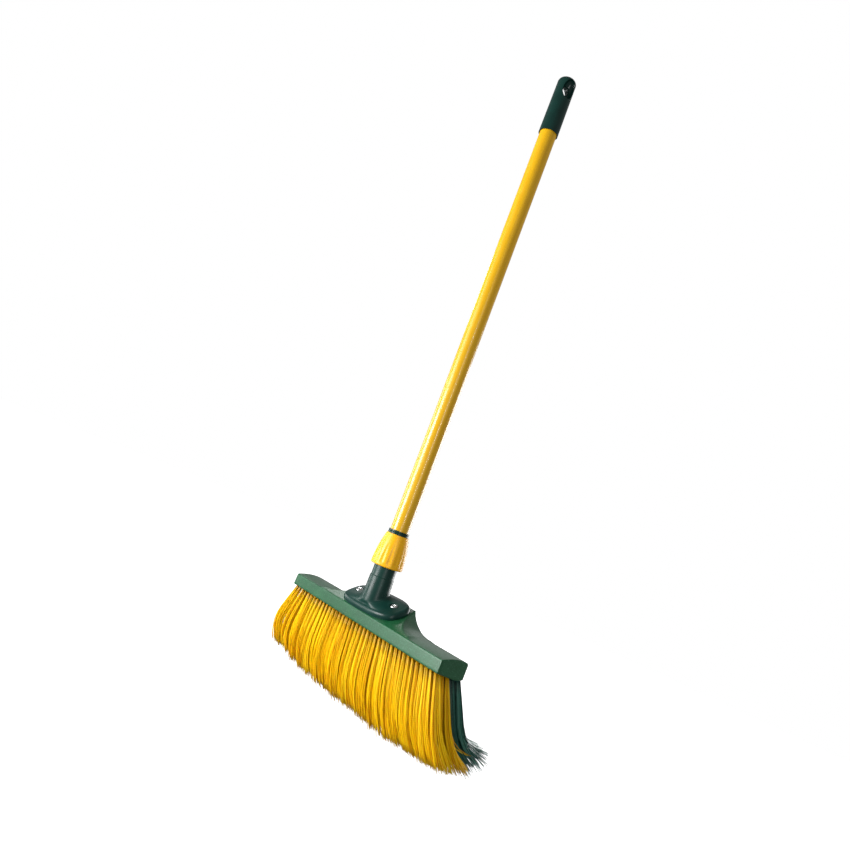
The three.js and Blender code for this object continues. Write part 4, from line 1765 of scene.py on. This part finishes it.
    def tubes(self, paths: np.ndarray) -> tuple[np.ndarray, np.ndarray]:
        """Carries a small polygon along every path, narrowing towards the tip.

        The polygon lies across the path's tangent: one of its axes is the tangent crossed
        with the block's length, the other crosses both.

        Args:
            paths: Centre lines of shape (threads, points, 3).

        Returns:
            Points of shape (threads, points, sides, 3) and quads of shape (faces, 4).
        """
        tangent = np.gradient(paths, axis=1)
        tangent /= np.linalg.norm(tangent, axis=2, keepdims=True)
        across = np.cross(tangent, np.array([1.0, 0.0, 0.0]))
        across /= np.linalg.norm(across, axis=2, keepdims=True)
        other = np.cross(tangent, across)
        count, points = paths.shape[:2]
        taper = np.ones(points)
        taper[-1] = self.tip_taper
        radius = self.thread_radius * taper[None, :, None, None]
        angle = ring_angles(self.sides)[None, None, :, None]
        ring = np.cos(angle) * across[:, :, None] + np.sin(angle) * other[:, :, None]
        index = np.arange(count * points * self.sides).reshape(count, points, self.sides)
        after = np.roll(index, -1, axis=2)
        around = np.stack([index[:, :-1], after[:, :-1], after[:, 1:], index[:, 1:]], -1)
        caps = np.concatenate([index[:, 0, ::-1], index[:, -1]])
        return paths[:, :, None] + ring * radius, np.concatenate([around.reshape(-1, 4), caps])

    def build_row(
        self, row: int, colour: str, number: int, finish: bpy.types.Material
    ) -> None:
        """Builds one row of tufts as one mesh, with the map that its finish reads.

        Args:
            row: The row's number, from the front.
            colour: The threads' colour, as names have it.
            number: The row's number among those of its colour, from 1.
            finish: The threads' material.
        """
        tube, quads = self.tubes(self.row_paths(row))
        mesh = raw_mesh(f"{colour}_tufts_{number}", DATUM.head(tube).reshape(-1, 3), quads)
        rng = np.random.default_rng(self.tone_seed + row)
        threads, points, sides = tube.shape[:3]
        tone = np.clip(rng.normal(*self.tone, threads), 0.0, 1.0)[:, None, None]
        length = np.linspace(0.0, 1.0, points)[None, :, None]
        per_point = np.broadcast_arrays(tone, length, np.zeros((1, 1, sides)))[:2]
        uv = np.stack(per_point, -1).reshape(-1, 2)
        layer = mesh.uv_layers.new(name=FILAMENT_MAP)
        layer.uv.foreach_set("vector", uv[quads.ravel()].astype(np.float32).ravel())
        mesh.shade_smooth()
        finish_piece(mesh, finish, Body.HEAD, f"{colour}_bristle_row_{number}")

    def build(self, yellow: bpy.types.Material, green: bpy.types.Material) -> None:
        """Builds the five rows.

        Args:
            yellow: The front rows' material.
            green: The rear rows' material.
        """
        for row in range(self.rows):
            if row < self.yellow_rows:
                self.build_row(row, "yellow", row + 1, yellow)
            else:
                self.build_row(row, "green", row + 1 - self.yellow_rows, green)


# ------------------------------------------------------------------ studio


@dataclass(frozen=True)
class Lamp:
    """A rectangular soft lamp: metres about the head datum, and watts."""

    name: str
    at: tuple[float, float, float]
    aim: tuple[float, float, float]
    size: tuple[float, float]
    watts: float

    def build(self) -> None:
        """Hangs the lamp and aims it."""
        data = bpy.data.lights.new(self.name, "AREA")
        data.shape = "RECTANGLE"
        data.size, data.size_y = self.size
        data.energy = self.watts
        lamp = in_scene(self.name, data)
        place = Vector(DATUM.head(np.array(self.at) * 1000.0).tolist())
        target = Vector(DATUM.head(np.array(self.aim) * 1000.0).tolist())
        lamp.matrix_world = (target - place).to_track_quat("-Z", "Y").to_matrix().to_4x4()
        lamp.location = place


LAMPS = (
    Lamp("key_box", (-0.75, -2.0, 0.15), (0.0, 0.0, 0.05), (1.0, 1.0), 76.0),
    Lamp("sheen_box", (-2.0, -0.6, 0.25), (0.0, 0.0, 0.05), (0.5, 1.1), 13.0),
    Lamp("handle_box", (-1.1, -1.7, 0.8), (0.0, 0.0, 0.6), (0.5, 0.9), 6.0),
    Lamp("screw_box", (-1.2, 0.37, 1.0), (0.0, 0.0, 0.0), (0.25, 0.25), 2.2),
    Lamp("back_box", (-1.3, 1.5, 0.9), (0.0, 0.0, 0.0), (1.2, 0.8), 2.0),
    Lamp("rear_box", (-0.1, 2.2, 0.45), (0.0, 0.0, 0.1), (1.2, 1.2), 34.0),
    Lamp("tube_strip", (1.35, -0.75, 0.3), (0.0, 0.0, 0.3), (0.05, 1.2), 7.0),
)


@dataclass(frozen=True)
class Studio:
    """A plain pale floor, soft lamps and the camera."""

    backdrop: float = 1.0
    ambient: float = 0.24
    floor_half: float = 6.0
    floor_drop: float = 0.001
    floor_colour: str = "#f4f4f4"
    floor_glow: float = 0.84
    floor_roughness: float = 0.9

    focal: float = 670.48
    frame_width: float = 850.0
    sensor: float = 36.0
    camera_at: tuple[float, float, float] = (753.2, -683.9, 121.3)
    right: tuple[float, float, float] = (0.64601005, 0.65904214, 0.38514215)
    down: tuple[float, float, float] = (0.13840626, 0.39506147, -0.90816856)
    ahead: tuple[float, float, float] = (-0.75067618, 0.63999211, 0.16399812)

    def camera(self) -> None:
        """Places the camera, at the calibrated angle and framing, with everything in focus."""
        data = bpy.data.cameras.new("studio_camera")
        data.sensor_width = self.sensor
        data.lens = self.focal / self.frame_width * self.sensor
        data.clip_end = 50.0
        camera = in_scene("studio_camera", data)
        axes = np.stack([self.right, -np.array(self.down), -np.array(self.ahead)], -1)
        turn = Matrix(axes.tolist()).to_4x4()
        turn.translation = Vector(DATUM.head(np.array(self.camera_at)).tolist())
        camera.matrix_world = turn
        bpy.context.scene.camera = camera

    def floor(self) -> None:
        """A pale paper sweep under the broom, which glows so that it meets the backdrop.

        It lights nothing and isn't reflected, so that the broom's darks stay dark.
        """
        level = min(corner[2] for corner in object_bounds()) - self.floor_drop
        side = np.linspace(-self.floor_half, self.floor_half, 13)
        x, y = np.meshgrid(side, side, indexing="ij")
        grid = np.stack([x, y, np.full_like(x, level)], -1)
        mesh = skin("studio_floor", [grid], wrap_columns=False)
        floor = in_scene("studio_floor", mesh)
        material, tree, shader = new_material("pale_paper")
        feed(tree, shader, {
            "Base Color": linear(self.floor_colour),
            "Emission Color": WHITE,
            "Emission Strength": self.floor_glow,
            "Roughness": self.floor_roughness,
            "Specular IOR Level": 0.0,
        })
        mesh.materials.append(material)
        floor.visible_diffuse = False
        floor.visible_glossy = False
        floor.visible_shadow = False
        floor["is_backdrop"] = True

    def surround(self) -> None:
        """A white backdrop for the eye, and a dimmer surround that lights and is reflected."""
        world = bpy.data.worlds.new("white_surround")
        world.use_nodes = True
        tree = world.node_tree
        strength = add_node(tree, "MapRange", {
            "Value": add_node(tree, "LightPath").outputs["Is Camera Ray"],
            "To Min": self.ambient,
            "To Max": self.backdrop,
        })
        sky = {"Color": WHITE, "Strength": strength.outputs["Result"]}
        feed(tree, tree.nodes["Background"], sky)
        bpy.context.scene.world = world

    def build(self) -> None:
        """Sets up the camera, the floor and the lights, shown without a film curve."""
        self.camera()
        self.floor()
        self.surround()
        for lamp in LAMPS:
            lamp.build()
        view = bpy.context.scene.view_settings
        view.view_transform = "Standard"
        view.look = "None"


# ------------------------------------------------------------------ assembly


def main() -> None:
    """Builds the broom from the head up, then the studio."""
    logging.basicConfig(level=logging.INFO, format="%(name)s: %(message)s")
    dark_name, cap_name = "moulded_polypropylene_dark_green", "moulded_pvc_dark_green"
    dark = Moulded(dark_name, "#0f362f", "#0c2d27", 0.36, specular=0.28).build()
    cap = Moulded(cap_name, "#0a302a", "#082722", 0.26, specular=0.36).build()
    yellow = Moulded(
        "moulded_polypropylene_yellow",
        "#f6b600",
        "#eeac00",
        0.4,
        sink_mm=14.0,
        specular=0.4,
        subsurface=0.05,
    ).build()
    # For both thread finishes the last colour is the painted shade at the roots, near the block.
    yellow_thread = Filament(
        "filament_polypropylene_yellow", "#fbc900", "#ffdb20", "#d89c00", "#9a6800"
    ).build()
    green_thread = Filament(
        "filament_polypropylene_green",
        "#1f5a4c",
        "#5a9486",
        "#0c2a22",
        "#0a1f1a",
        roughness=0.3,
        subsurface=0.03,
        specular=0.5,
    ).build()

    block = Block()
    block.build(FoamedBlock().build())
    screws = SocketScrews()
    Socket().build(dark, screws)
    screws.build(ZincPlate().build())
    TwistLock().build(dark, yellow)
    Handle().build(CoatedTube().build(), dark, cap)
    Bristles(block).build(yellow_thread, green_thread)
    Studio().build()


if __name__ == "__main__":
    main()
